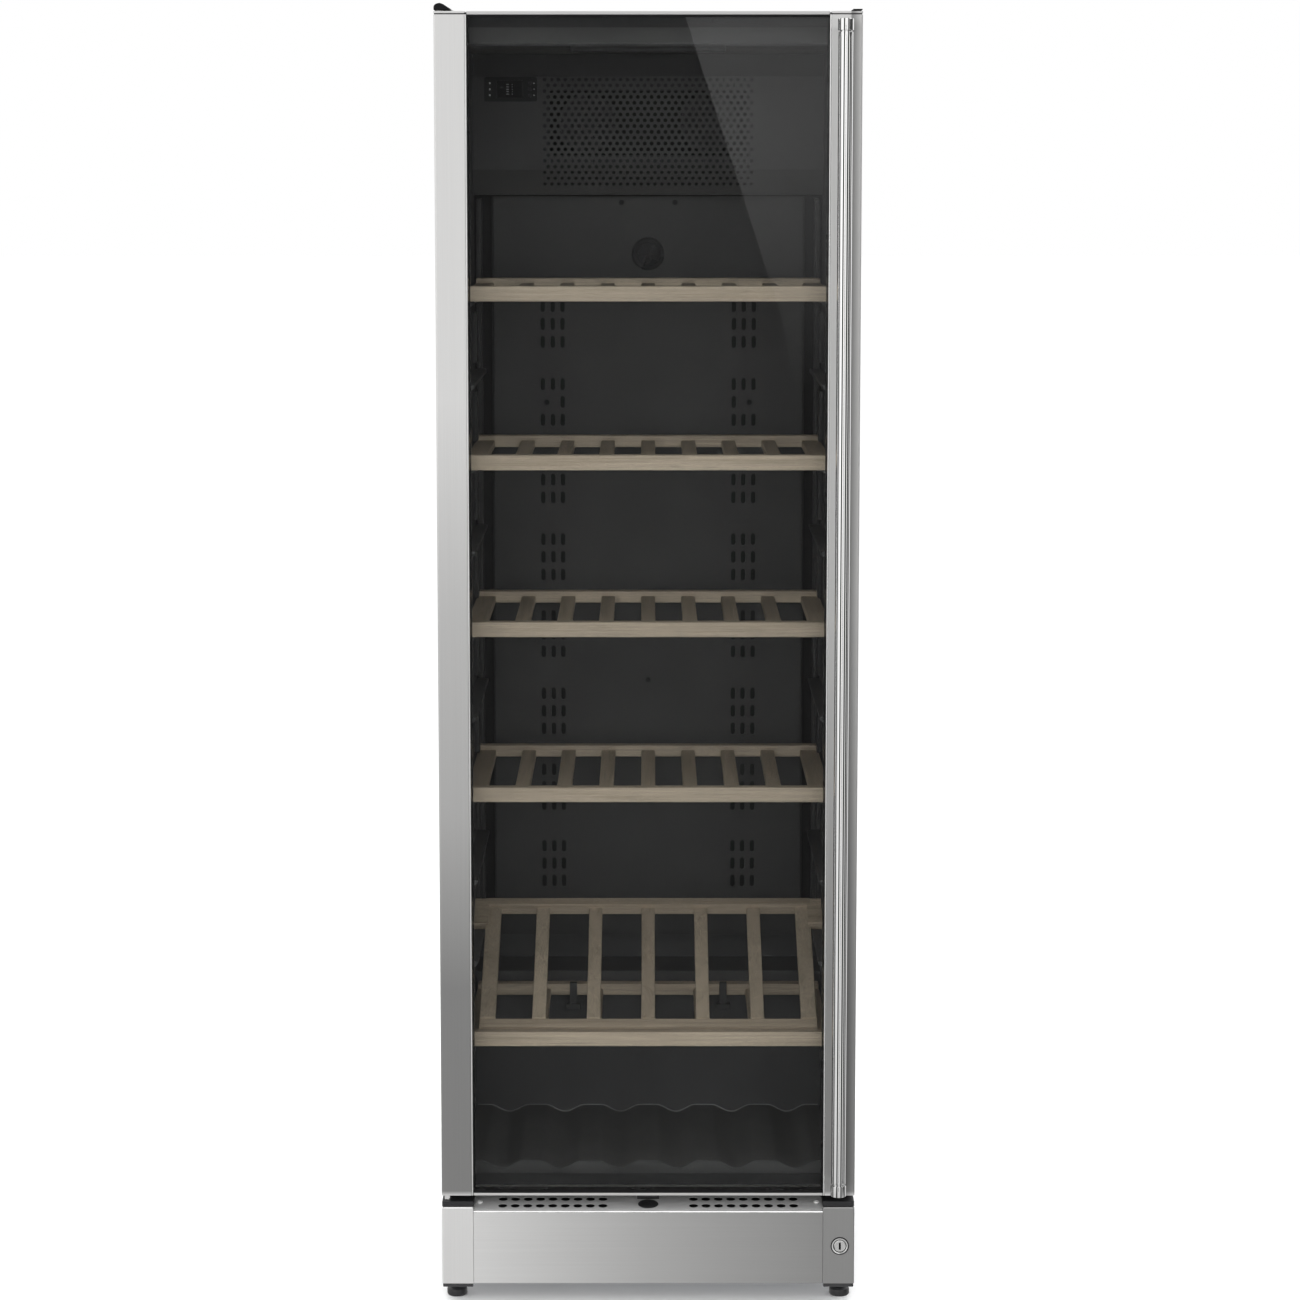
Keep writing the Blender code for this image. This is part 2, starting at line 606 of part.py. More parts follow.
def build_cooling_unit(plastic, aluminium, black_plastic, clear_plastic):
    half = CABIN_HALF_WIDTH - 0.0005
    path = [
        (depth(CABIN_BACK - 0.0005), 1.5915),
        (depth(0.500), 1.5915),
        (depth(COVER_FACE), 1.630),
        (depth(COVER_FACE), 1.768),
        (depth(0.499), 1.8038),
    ]
    cover = folded_sheet("evaporator_cover", path, "X", half, COVER_SHEET, plastic)
    window = span(GRILLE_HALF_WIDTH + GAP, (0.470, 0.492), (GRILLE_LOW - GAP, GRILLE_HIGH + GAP))
    controller_x, controller_z = (-0.246, -0.170), (1.7348, 1.7662)
    controller_hole = (
        (controller_x[0] - GAP, depth(0.470), controller_z[0] - GAP),
        (controller_x[1] + GAP, depth(0.492), controller_z[1] + GAP),
    )
    cut(cover, "cover_windows", boxes(window, controller_hole))
    face = (COVER_FACE - 0.001, COVER_FACE + 0.001)
    grille = span(GRILLE_HALF_WIDTH, face, (GRILLE_LOW, GRILLE_HIGH))
    add_part("fan_grille", boxes(grille), plastic)

    front = COVER_FACE - COVER_SHEET / 2 - GAP
    flange = ((-0.248, depth(front - 0.0032), 1.732), (-0.168, depth(front), 1.769))
    housing = add_part("controller_housing", boxes(flange), black_plastic)
    body = (
        (controller_x[0], depth(front - 0.001), controller_z[0]),
        (controller_x[1], depth(0.500), controller_z[1]),
    )
    join(housing, "controller_body", boxes(body))
    window_x, window_z = (-0.2285, -0.1895), (1.7375, 1.7635)
    floor = front - 0.0015
    recess = (
        (window_x[0], depth(front - 0.01), window_z[0]),
        (window_x[1], depth(floor), window_z[1]),
    )
    cut(housing, "display_recess", boxes(recess))
    pane = (
        (window_x[0] + GAP, depth(floor - 0.0014), window_z[0] + GAP),
        (window_x[1] - GAP, depth(floor - GAP), window_z[1] - GAP),
    )
    add_part("controller_display", boxes(pane), clear_plastic)
    key_x, key_radius, key_travel = -0.1785, 0.0028, 0.0006
    key_heights = (1.7595, 1.7505, 1.7415)
    wells = [((key_x, depth(front - 0.0018), z), key_radius + GAP, 0.0036) for z in key_heights]
    cut(housing, "key_wells", rods("Y", 16, *wells))
    for number, z in enumerate(key_heights, start=1):
        low, high = front - 0.0040, front - key_travel - GAP
        centre = (key_x, depth((low + high) / 2), z)
        key = rods("Y", 16, (centre, key_radius, high - low))
        add_part(f"controller_key_{number}", key, black_plastic, centre)

    plate = span(0.150, (0.488, 0.510), (FAN_Z - 0.048, FAN_Z + 0.048))
    carrier = add_part("fan_carrier", boxes(plate), black_plastic)
    fan_places = [(side * FAN_X, FAN_Z) for side in (-1, 1)]
    holes = [((x, depth(0.499), z), FAN_HOLE, 0.05) for x, z in fan_places]
    cut(carrier, "fan_holes", rods("Y", 28, *holes))
    bar = span(0.145, (0.5062, 0.5096), (FAN_Z - 0.003, FAN_Z + 0.003))
    join(carrier, "fan_cross_bar", boxes(bar))
    uprights = [
        ((x - 0.003, depth(0.5066), z - 0.046), (x + 0.003, depth(0.5092), z + 0.046))
        for x, z in fan_places
    ]
    join(carrier, "fan_uprights", boxes(*uprights))
    hubs = [((x, depth(0.508), z), 0.0165, 0.0038) for x, z in fan_places]
    join(carrier, "fan_hubs", rods("Y", 20, *hubs))
    for label, (x, z) in zip(("left", "right"), fan_places, strict=True):
        build_rotor(f"fan_rotor_{label}", (x, depth(0.497), z), black_plastic)

    build_evaporator(aluminium)
    lamp = span(0.110, (0.120, 0.145), (CABIN_CEILING - 0.008, CABIN_CEILING - GAP))
    add_part("lamp_cover", boxes(lamp), clear_plastic)

    edge = 0.2388
    path = [
        (-edge, depth(CABIN_BACK - 0.0005)),
        (-edge, depth(DUCT_FACE)),
        (edge, depth(DUCT_FACE)),
        (edge, depth(CABIN_BACK - 0.0005)),
    ]
    low, high = 0.440, 1.5895
    duct = folded_sheet(
        "duct_panel", path, "Z", (high - low) / 2, COVER_SHEET, plastic, (high + low) / 2
    )
    socket = ((0, depth(DUCT_FACE), FILTER_Z), 0.0240, 0.02)
    cut(duct, "filter_socket", rods("Y", 28, socket))
    profile = [(0, 0.0050), (0.0230, 0.0050), (0.0250, 0.0038), (0.0250, 0.0016), (0.0235, 0.0016)]
    profile += [(0.0235, -0.0140), (0, -0.0140)]
    place = (0, depth(DUCT_FACE), FILTER_Z)
    turned("air_filter", profile, 28, black_plastic, place, (math.pi / 2, 0, 0))


def build_rotor(name, place, material):
    """A hub with five pitched blades, spinning about Y through its own origin."""
    blade_count, pitch_angle = 5, math.radians(38)
    rotor = add_part(name, rods("Y", 20, (place, 0.0155, 0.0150)), material, place)
    blades = bmesh.new()
    for number in range(blade_count):
        around = Matrix.Rotation(number * 2 * math.pi / blade_count, 4, "Y")
        out = Matrix.Translation((0.0275, 0, 0))
        twist = Matrix.Rotation(pitch_angle, 4, "X")
        size = Matrix.Diagonal((0.0270, 0.0016, 0.0180, 1.0))
        bmesh.ops.create_cube(
            blades, size=1.0, matrix=Matrix.Translation(place) @ around @ out @ twist @ size
        )
    join(rotor, f"{name}_blades", blades)


def build_evaporator(aluminium):
    """A finned block, drawn as a comb seen from above, with gaps as wide as its fins."""
    fin_count, half, back, root, tip = 24, 0.190, 0.542, 0.530, 0.514
    low, high = 1.640, 1.790
    fin = 2 * half / (2 * fin_count - 1)
    outline = [(-half, depth(back)), (half, depth(back))]
    for number in range(fin_count):
        right = half - 2 * number * fin
        if number > 0:
            outline.append((right, depth(root)))
        outline += [(right, depth(tip)), (right - fin, depth(tip))]
        if number < fin_count - 1:
            outline.append((right - fin, depth(root)))
    add_part("evaporator_coil", prism(outline, "Z", low, high), aluminium)


def build_shelf(name, top, shelf_depth, pitch, count, wood):
    """Front and back rails joined by slats. Its origin is the middle of the front rail's face."""
    back = SHELF_FRONT + shelf_depth
    low = top - RAIL_HEIGHT
    front_rail = span(SHELF_HALF_WIDTH, (SHELF_FRONT, SHELF_FRONT + RAIL_DEPTH), (low, top))
    back_rail = span(SHELF_HALF_WIDTH - 0.002, (back - 0.022, back), (top - 0.019, top - 0.001))
    origin = (0, depth(SHELF_FRONT), top - RAIL_HEIGHT / 2)
    shelf = add_part(name, boxes(front_rail, back_rail), wood, origin)
    slat_top = top - SLAT_DROP
    slat_low = slat_top - SLAT_THICK
    reach = (SHELF_FRONT + RAIL_DEPTH - 0.005, back - 0.012)
    slats = [
        ((x - SLAT_WIDTH / 2, depth(reach[0]), slat_low), (x + SLAT_WIDTH / 2, depth(reach[1]), slat_top))
        for x in (number * pitch for number in range(-(count // 2), count // 2 + 1))
    ]
    slats += [side_span(side, EDGE_SLAT, reach, (slat_low, slat_top)) for side in (-1, 1)]
    join(shelf, f"{name}_slats", boxes(*slats))


def build_shelves(wood):
    for number, top in enumerate(SHELF_TOPS, start=1):
        build_shelf(f"shelf_{number}", top, SHELF_DEPTH, SHELF_SLAT_PITCH, 7, wood)
    build_shelf("display_shelf", DISPLAY_TOP, DISPLAY_DEPTH, DISPLAY_SLAT_PITCH, 5, wood)
    build_rack(wood)


def build_rack(wood):
    """The leaning display rack. Its local Y runs up the slope and its origin is the edge it tips about."""
    pivot = (0, depth(RACK_PIVOT_DEPTH), DISPLAY_TOP - SLAT_DROP + GAP)
    bm = boxes(
        ((-RACK_LOWER_HALF, 0.0, 0.0), (RACK_LOWER_HALF, 0.020, 0.012)),
        ((-RACK_LOWER_HALF, RACK_LENGTH - 0.024, 0.001), (RACK_LOWER_HALF, RACK_LENGTH, 0.020)),
    )
    rack = add_part("display_rack", bm, wood)
    rack.location = pivot
    rack.rotation_euler = (RACK_ANGLE, 0, 0)
    slats = [
        ((x - 0.010, 0.012, 0.0020), (x + 0.010, RACK_LENGTH - 0.014, 0.0140))
        for x in (number * DISPLAY_SLAT_PITCH for number in range(-2, 3))
    ]
    for side in (-1, 1):
        inner, outer = sorted((side * 0.2240, side * (RACK_LOWER_HALF - 0.0006)))
        slats.append(((inner, 0.0115, 0.0015), (outer, RACK_LENGTH - 0.0135, 0.0155)))
    tool = add_tool("rack_slats", boxes(*slats))
    tool.location = pivot
    tool.rotation_euler = (RACK_ANGLE, 0, 0)
    combine(rack, tool, "UNION")

    ledge_top = DISPLAY_TOP + LEDGE_PITCH - LEDGE_DROP
    ear_low = ledge_top + 2 * GAP
    slope, thick = RACK_ANGLE, 0.0192

    def on_slope(along, above):
        y = pivot[1] + along * math.cos(slope) - above * math.sin(slope)
        return y, pivot[2] + along * math.sin(slope) + above * math.cos(slope)

    upper_front = on_slope(RACK_LENGTH - 0.066, thick)
    upper_back = on_slope(RACK_LENGTH - 0.0008, thick)
    lower_back = on_slope(RACK_LENGTH - 0.0008, 0.0018)
    run = (upper_front[1] - ear_low) * math.tan(slope)
    outline = [(upper_front[0] + run, ear_low), upper_front, upper_back, lower_back]
    across = (lower_back[1] - ear_low) / math.tan(slope)
    outline.append((lower_back[0] - across, ear_low))
    ears = bmesh.new()
    for side in (-1, 1):
        inner, outer = sorted((side * 0.2420, side * SHELF_HALF_WIDTH))
        add_prism(ears, outline, "X", inner, outer)
    join(rack, "rack_ears", ears)


def build_cradle(black_plastic):
    """The moulded tray on the cabin floor, with six sloping-sided troughs for bottles."""
    half = CABIN_HALF_WIDTH - 0.0015
    count = 6
    outline = [(half, CABIN_FLOOR + GAP), (-half, CABIN_FLOOR + GAP), (-half, CRADLE_TOP)]
    for number in range(count):
        middle = (number - (count - 1) / 2) * TROUGH_PITCH
        outline += [
            (middle - TROUGH_WIDTH / 2, CRADLE_TOP),
            (middle - TROUGH_FLOOR / 2, CRADLE_TOP - TROUGH_DROP),
            (middle + TROUGH_FLOOR / 2, CRADLE_TOP - TROUGH_DROP),
            (middle + TROUGH_WIDTH / 2, CRADLE_TOP),
        ]
    outline.append((half, CRADLE_TOP))
    bm = prism(outline, "Y", depth(0.100), depth(HUMP_DEPTH - 0.002))
    add_part("bottle_cradle", bm, black_plastic)


def build_machinery(black_paint, galvanised, black_plastic):
    """Compressor, tray, condenser and mains inlet behind and under the cabin."""
    x, y = 0.100, depth(0.530)
    profile = [(0, 0.2040), (0.032, 0.2025), (0.050, 0.1950), (0.058, 0.1780), (0.058, 0.0720)]
    profile += [(0.050, 0.0560), (0, 0.0500)]
    compressor = turned("compressor", profile, 24, black_paint, (x, y, 0))
    compressor.scale = (1.45, 1, 1)
    plate = ((x - 0.098, y - 0.050, 0.0465), (x + 0.098, y + 0.050, 0.0540))
    join(compressor, "compressor_plate", boxes(plate))
    mounts = [
        ((x + sx * 0.083, y + sy * 0.036, 0.0415), 0.010, 0.0112) for sx in (-1, 1) for sy in (-1, 1)
    ]
    join(compressor, "compressor_mounts", rods("Z", 12, *mounts))

    tray = boxes(((x - 0.095, depth(0.478), 0.2060), (x + 0.105, depth(0.584), 0.2340)))
    lid = [face for face in tray.faces if face.normal.z > 0.5]
    bmesh.ops.delete(tray, geom=lid, context="FACES_ONLY")
    tray_obj = add_part("evaporation_tray", tray, black_plastic)
    wall = tray_obj.modifiers.new("wall", "SOLIDIFY")
    wall.thickness = 0.0015
    wall.offset = -1.0
    wall.use_even_offset = True

    box = ((-0.245, depth(0.535), 0.0358), (-0.170, depth(0.588), 0.105))
    inlet = add_part("mains_inlet", boxes(box), black_plastic)
    gland = ((-0.2075, depth(0.5900), 0.075), 0.0085, 0.0085)
    join(inlet, "mains_gland", rods("Y", 16, gland))

    build_condenser(black_paint)
    path = [
        (depth(CASING_BACK - 0.0005), 1.800),
        (depth(REAR_LIMIT - SHEET / 2), 1.800),
        (depth(REAR_LIMIT - SHEET / 2), 1.825),
        (depth(CASING_BACK - 0.0005), 1.825),
    ]
    folded_sheet("wall_spacer", path, "X", 0.200, SHEET, galvanised)


def build_condenser(black_paint):
    """A serpentine of tube behind the rear panel, led down to the compressor."""
    runs, half, top, bottom = 12, 0.215, 1.760, 0.440
    pitch = (top - bottom) / (runs - 1)
    bend, steps = 0.014, 3
    y = depth(0.5892)
    route = [Vector((-half, depth(0.5820), top))]
    for number in range(runs):
        height = top - number * pitch
        way = 1 if number % 2 == 0 else -1
        route.append(Vector((-way * half, y, height)))
        route.append(Vector((way * half, y, height)))
    route.append(Vector((-half, y, 0.300)))
    route.append(Vector((-half + 0.060, y, 0.270)))
    route.append(Vector((-half + 0.060, depth(0.530), 0.270)))
    route.append(Vector((-half + 0.060, depth(0.530), 0.120)))
    route.append(Vector((0.0145, depth(0.530), 0.120)))
    points = [route[0]]
    for before, corner, after in zip(route[:-2], route[1:-1], route[2:], strict=True):
        near = min(bend, (before - corner).length / 2.2, (after - corner).length / 2.2)
        start = corner + (before - corner).normalized() * near
        end = corner + (after - corner).normalized() * near
        for step in range(steps + 1):
            t = step / steps
            points.append(start * (1 - t) ** 2 + corner * 2 * t * (1 - t) + end * t**2)
    points.append(route[-1])
    curve = bpy.data.curves.new("condenser_coil", "CURVE")
    curve.dimensions = "3D"
    curve.bevel_depth = 0.0025
    curve.bevel_resolution = 1
    curve.use_fill_caps = True
    spline = curve.splines.new("POLY")
    spline.points.add(len(points) - 1)
    for slot, point in zip(spline.points, points, strict=True):
        slot.co = (*point, 1.0)
    curve.materials.append(black_paint)
    coil = bpy.data.objects.new("condenser_coil", curve)
    PARTS.objects.link(coil)


def main():
    steel = finish("brushed_steel", (0.62, 0.61, 0.59), 0.32, 1.0)
    casing_paint = finish("casing_paint", (0.36, 0.36, 0.36), 0.45, 0.6)
    chrome = finish("polished_steel", (0.75, 0.75, 0.75), 0.15, 1.0)
    galvanised = finish("galvanised", (0.55, 0.56, 0.57), 0.5, 0.9)
    aluminium = finish("fin_aluminium", (0.70, 0.71, 0.72), 0.4, 1.0)
    foam = finish("foam", (0.85, 0.78, 0.55), 0.95)
    liner = finish("liner_plastic", (0.055, 0.055, 0.057), 0.5)
    black_plastic = finish("black_plastic", (0.015, 0.015, 0.016), 0.45)
    black_paint = finish("black_paint", (0.02, 0.02, 0.02), 0.5)
    rubber = finish("gasket_rubber", (0.06, 0.06, 0.06), 0.8)
    glass = finish("tinted_glass", (0.10, 0.10, 0.10), 0.03, 0.0, 0.4)
    display = finish("display_plastic", (0.03, 0.03, 0.03), 0.12)
    wood = finish("beech", (0.62, 0.48, 0.31), 0.55)

    build_casing(casing_paint, foam, galvanised)
    build_liner(liner)
    build_base(galvanised, black_plastic)
    build_plinth(steel, black_plastic, chrome)
    build_lock(chrome, black_plastic, steel)
    build_top_hinge(steel, black_plastic)
    build_door(steel, glass, black_plastic, rubber, chrome)
    build_cooling_unit(liner, aluminium, black_plastic, display)
    build_shelves(wood)
    build_cradle(black_plastic)
    build_machinery(black_paint, galvanised, black_plastic)


clear_scene()
PARTS = new_collection("wine_cooler")
TOOLS = new_collection("cutters")
main()
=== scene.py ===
"""The looks of a tall wine cooler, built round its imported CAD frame.

Metres. X runs to the right, Y to the back and Z up; the door faces -Y.
Places come from the CAD nodes' boxes.
"""

import math

import bmesh
import bpy
from mathutils import Matrix, Vector
from mathutils.geometry import delaunay_2d_cdt


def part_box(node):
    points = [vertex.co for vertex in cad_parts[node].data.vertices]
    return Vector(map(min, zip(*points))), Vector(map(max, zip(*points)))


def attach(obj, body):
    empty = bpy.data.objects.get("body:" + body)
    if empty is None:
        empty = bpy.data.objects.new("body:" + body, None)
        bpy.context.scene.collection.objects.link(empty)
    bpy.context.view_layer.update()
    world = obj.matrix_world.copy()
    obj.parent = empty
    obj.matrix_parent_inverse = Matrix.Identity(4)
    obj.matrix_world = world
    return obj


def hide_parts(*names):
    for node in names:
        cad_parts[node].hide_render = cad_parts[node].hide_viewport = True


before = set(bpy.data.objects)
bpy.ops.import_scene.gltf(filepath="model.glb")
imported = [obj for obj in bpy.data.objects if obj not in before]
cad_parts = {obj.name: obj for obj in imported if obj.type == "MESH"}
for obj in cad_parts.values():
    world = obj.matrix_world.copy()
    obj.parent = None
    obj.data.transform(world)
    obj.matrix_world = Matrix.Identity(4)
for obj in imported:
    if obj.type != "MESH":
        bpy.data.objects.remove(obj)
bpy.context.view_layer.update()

BOX = {name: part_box(name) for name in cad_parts}
FRONT = BOX["door_stile_left"][0].y
STILE_INNER = BOX["door_stile_right"][0].x
TURN = 2 * math.pi
UPRIGHT = Matrix(((1, 0, 0, 0), (0, 0, 1, 0), (0, 1, 0, 0), (0, 0, 0, 1)))


def depth(distance):
    """The Y of a plane this far behind the door's front face."""
    return FRONT + distance


# ---------------------------------------------------------------- mesh helpers


def mirrored(side, near, far):
    """Two distances from the middle as places in X on one side, the lower first."""
    return sorted((side * near, side * far))


def add_box(bm, low, high):
    low, high = Vector(low), Vector(high)
    place = Matrix.Translation((low + high) / 2) @ Matrix.Diagonal((*(high - low), 1.0))
    bmesh.ops.create_cube(bm, size=1.0, matrix=place)


def add_prism(bm, outline, axis, low, high):
    """Adds a flat outline, drawn out along one axis; its points are in the other two axes, in order."""
    if axis == "X":
        points, along = [(low, a, b) for a, b in outline], (high - low, 0, 0)
    elif axis == "Y":
        points, along = [(a, low, b) for a, b in outline], (0, high - low, 0)
    else:
        points, along = [(a, b, low) for a, b in outline], (0, 0, high - low)
    face = bm.faces.new([bm.verts.new(point) for point in points])
    grown = bmesh.ops.extrude_face_region(bm, geom=[face])
    moved = [item for item in grown["geom"] if isinstance(item, bmesh.types.BMVert)]
    bmesh.ops.translate(bm, verts=moved, vec=along)


def rectangle(low_a, low_b, high_a, high_b):
    return [(low_a, low_b), (high_a, low_b), (high_a, high_b), (low_a, high_b)]


def circle(centre, radius, steps=24, start=0.0):
    turns = (start + TURN * k / steps for k in range(steps))
    return [(centre[0] + radius * math.cos(t), centre[1] + radius * math.sin(t)) for t in turns]


def long_hole(centre, width, height, steps=5):
    """A slot with round ends, upright."""
    radius, rise = width / 2, height / 2 - width / 2
    points = []
    for middle, start in ((rise, 0.0), (-rise, math.pi)):
        for k in range(steps + 1):
            turn = start + math.pi * k / steps
            rise_here = centre[1] + middle + radius * math.sin(turn)
            points.append((centre[0] + radius * math.cos(turn), rise_here))
    return points


def filleted(points, radii, steps=4, closed=True):
    """The same outline with its corners rounded."""
    count = len(points)
    made = []
    for number, point in enumerate(points):
        radius = radii[number] if isinstance(radii, (list, tuple)) else radii
        end = not closed and number in (0, count - 1)
        if end or radius <= 0:
            made.append(tuple(point))
            continue
        corner = Vector(point)
        before = Vector(points[number - 1]) - corner
        after = Vector(points[(number + 1) % count]) - corner
        near = min(radius, before.length / 2.05, after.length / 2.05)
        start, finish = corner + before.normalized() * near, corner + after.normalized() * near
        for k in range(steps + 1):
            t = k / steps
            made.append(tuple(start * (1 - t) ** 2 + corner * 2 * t * (1 - t) + finish * t * t))
    return made


def add_lathe(bm, profile, place, segments=32):
    """Spins (radius, height) points round the local Z axis of a placing matrix."""
    rings = []
    for radius, height in profile:
        if radius < 1e-7:
            rings.append([bm.verts.new(place @ Vector((0, 0, height)))])
            continue
        turns = (TURN * k / segments for k in range(segments))
        ring = [Vector((radius * math.cos(t), radius * math.sin(t), height)) for t in turns]
        rings.append([bm.verts.new(place @ point) for point in ring])
    for first, second in zip(rings[:-1], rings[1:]):
        join_rings(bm, first, second)


def join_rings(bm, first, second):
    """Faces between two closed rings; a ring of one vertex makes a fan."""
    count = max(len(first), len(second))
    for k in range(count):
        n = (k + 1) % count
        near = [first[k % len(first)], first[n % len(first)]]
        corners = [*near, second[n % len(second)], second[k % len(second)]]
        unique = list(dict.fromkeys(corners))
        if len(unique) >= 3:
            bm.faces.new(unique)


def facing(origin, direction):
    """A matrix that puts the local Z axis along a direction at a point."""
    turn = Vector(direction).to_track_quat("Z", "Y").to_matrix().to_4x4()
    return Matrix.Translation(Vector(origin)) @ turn


def add_tube(bm, path, radius, sides=8, closed_ends=True):
    """A round tube along a list of points, with rings that turn as little as they can."""
    points = [Vector(p) for p in path]
    directions = []
    for k in range(len(points)):
        ahead = points[min(k + 1, len(points) - 1)] - points[max(k - 1, 0)]
        directions.append(ahead.normalized())
    across = directions[0].orthogonal().normalized()
    rings = []
    for k, (point, direction) in enumerate(zip(points, directions)):
        if k:
            across = directions[k - 1].rotation_difference(direction) @ across
        other = direction.cross(across)
        turns = [TURN * s / sides for s in range(sides)]
        ring = [across * math.cos(turn) + other * math.sin(turn) for turn in turns]
        rings.append([bm.verts.new(point + offset * radius) for offset in ring])
    for first, second in zip(rings[:-1], rings[1:]):
        join_rings(bm, first, second)
    if closed_ends:
        bm.faces.new(rings[0])
        bm.faces.new(rings[-1])


def rounded_route(points, radius, steps=4):
    """A route with each corner turned on a curve."""
    route = [Vector(points[0])]
    for before, corner, after in zip(points[:-2], points[1:-1], points[2:]):
        before, corner, after = Vector(before), Vector(corner), Vector(after)
        near = min(radius, (before - corner).length / 2.1, (after - corner).length / 2.1)
        start = corner + (before - corner).normalized() * near
        finish = corner + (after - corner).normalized() * near
        for k in range(steps + 1):
            t = k / steps
            route.append(start * (1 - t) ** 2 + corner * 2 * t * (1 - t) + finish * t * t)
    route.append(Vector(points[-1]))
    return route


def add_frame(bm, half_x, heights, profile):
    """A closed profile of (inset, y) points swept round an upright rectangle that is symmetric in X."""
    loops = []
    for inset, y in profile:
        x, low, high = half_x - inset, heights[0] + inset, heights[1] - inset
        corners = ((-x, y, low), (x, y, low), (x, y, high), (-x, y, high))
        loops.append([bm.verts.new(corner) for corner in corners])
    for first, second in zip(loops, loops[1:] + loops[:1]):
        join_rings(bm, first, second)


def counter_clockwise(loop):
    """The same loop, turned round if it runs clockwise."""
    area = sum(a[0] * b[1] - b[0] * a[1] for a, b in zip(loop, loop[1:] + loop[:1]))
    return loop if area > 0 else loop[::-1]


def flat_pieces(outline, holes, folds=()):
    """Triangles that fill an outline except for its holes; folds are lines that triangles don't cross."""
    points, edges, faces = [], [], []

    def add_loop(loop):
        start = len(points)
        points.extend(Vector(p) for p in loop)
        return list(range(start, len(points)))

    outer = add_loop(outline)
    edges.extend(zip(outer, outer[1:] + outer[:1]))
    for a, b in folds:
        start, finish = add_loop((a, b))
        edges.append((start, finish))
    for hole in holes:
        faces.append(add_loop(counter_clockwise(hole)))
    verts, _, triangles, _, _, origins = delaunay_2d_cdt(points, edges, faces, 1, 1e-7)
    return verts, [t for t, origin in zip(triangles, origins) if not origin]


def add_bent_sheet(bm, path, low, high, thickness, holes=(), axis="X"):
    """A sheet along a path in the plane across an axis, from low to high on it, with holes cut through.

    A hole's points are (place along the axis, distance along the path). The sheet grows to the path's left.
    """
    points = [Vector(p) for p in path]
    lengths = [0.0]
    for a, b in zip(points[:-1], points[1:]):
        lengths.append(lengths[-1] + (b - a).length)
    normals = []
    for k in range(len(points)):
        sides = []
        if k:
            sides.append((points[k] - points[k - 1]).normalized())
        if k < len(points) - 1:
            sides.append((points[k + 1] - points[k]).normalized())
        along = sum(sides, Vector((0, 0))).normalized()
        spread = max(0.3, along.dot(sides[0]))
        normals.append(Vector((-along.y, along.x)) / spread)
    folds = [((low, s), (high, s)) for s in lengths[1:-1]]
    verts, triangles = flat_pieces(rectangle(low, 0.0, high, lengths[-1]), holes, folds)

    def place(u, s, lift):
        k = 0
        while k < len(lengths) - 2 and s > lengths[k + 1]:
            k += 1
        t = (s - lengths[k]) / (lengths[k + 1] - lengths[k])
        a, b = points[k].lerp(points[k + 1], t) + normals[k].lerp(normals[k + 1], t) * lift
        return {"X": (u, a, b), "Y": (a, u, b), "Z": (a, b, u)}[axis]

    add_thick(bm, verts, triangles, lambda p: place(p.x, p.y, 0.0), lambda p: place(p.x, p.y, thickness))


def add_thick(bm, verts, triangles, front, back):
    """Two layers of the same triangles, with walls between them wherever a triangle's edge is free."""
    near = [bm.verts.new(front(v)) for v in verts]
    far = [bm.verts.new(back(v)) for v in verts]
    count = {}
    for triangle in triangles:
        bm.faces.new([near[k] for k in triangle])
        bm.faces.new([far[k] for k in reversed(triangle)])
        for a, b in zip(triangle, triangle[1:] + triangle[:1]):
            key = (min(a, b), max(a, b))
            count[key] = (count.get(key, (0,))[0] + 1, a, b)
    for number, a, b in count.values():
        if number == 1:
            bm.faces.new((near[b], near[a], far[a], far[b]))
    loose = [v for v in near + far if not v.link_faces]
    bmesh.ops.delete(bm, geom=loose, context="VERTS")


def add_plate(bm, outline, holes, place, near, far):
    """A flat outline with holes, between two heights on the local Z axis of a placing matrix."""
    verts, triangles = flat_pieces(outline, holes)

    def at(height):
        return lambda p: place @ Vector((p.x, p.y, height))

    add_thick(bm, verts, triangles, at(near), at(far))


def soften(bm, width, segments=3, angle=30):
    """Rounds every edge that is sharper than an angle."""
    limit = math.radians(angle)
    edges = [e for e in bm.edges if len(e.link_faces) == 2 and e.calc_face_angle(0.0) > limit]
    round_edges(bm, edges, width, segments)


def round_edges(bm, edges, width, segments):
    """Bevels the given edges, round in section."""
    bmesh.ops.bevel(
        bm, geom=edges, offset=width, segments=segments, profile=0.5, affect="EDGES", clamp_overlap=True
    )


def make_piece(name, bm, material, body, slot, *replaced, smooth=38, recalc=True):
    """Turns a bmesh into a piece that rides on a body."""
    if recalc:
        bmesh.ops.recalc_face_normals(bm, faces=bm.faces)
    mesh = bpy.data.meshes.new(name)
    bm.to_mesh(mesh)
    bm.free()
    mesh.materials.append(material)
    mesh.shade_smooth()
    mesh.set_sharp_from_angle(angle=math.radians(smooth))
    obj = bpy.data.objects.new(name, mesh)
    bpy.context.scene.collection.objects.link(obj)
    weighted = obj.modifiers.new("normals", "WEIGHTED_NORMAL")
    weighted.keep_sharp = True
    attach(obj, body)
    if replaced:
        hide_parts(*replaced)
    return obj


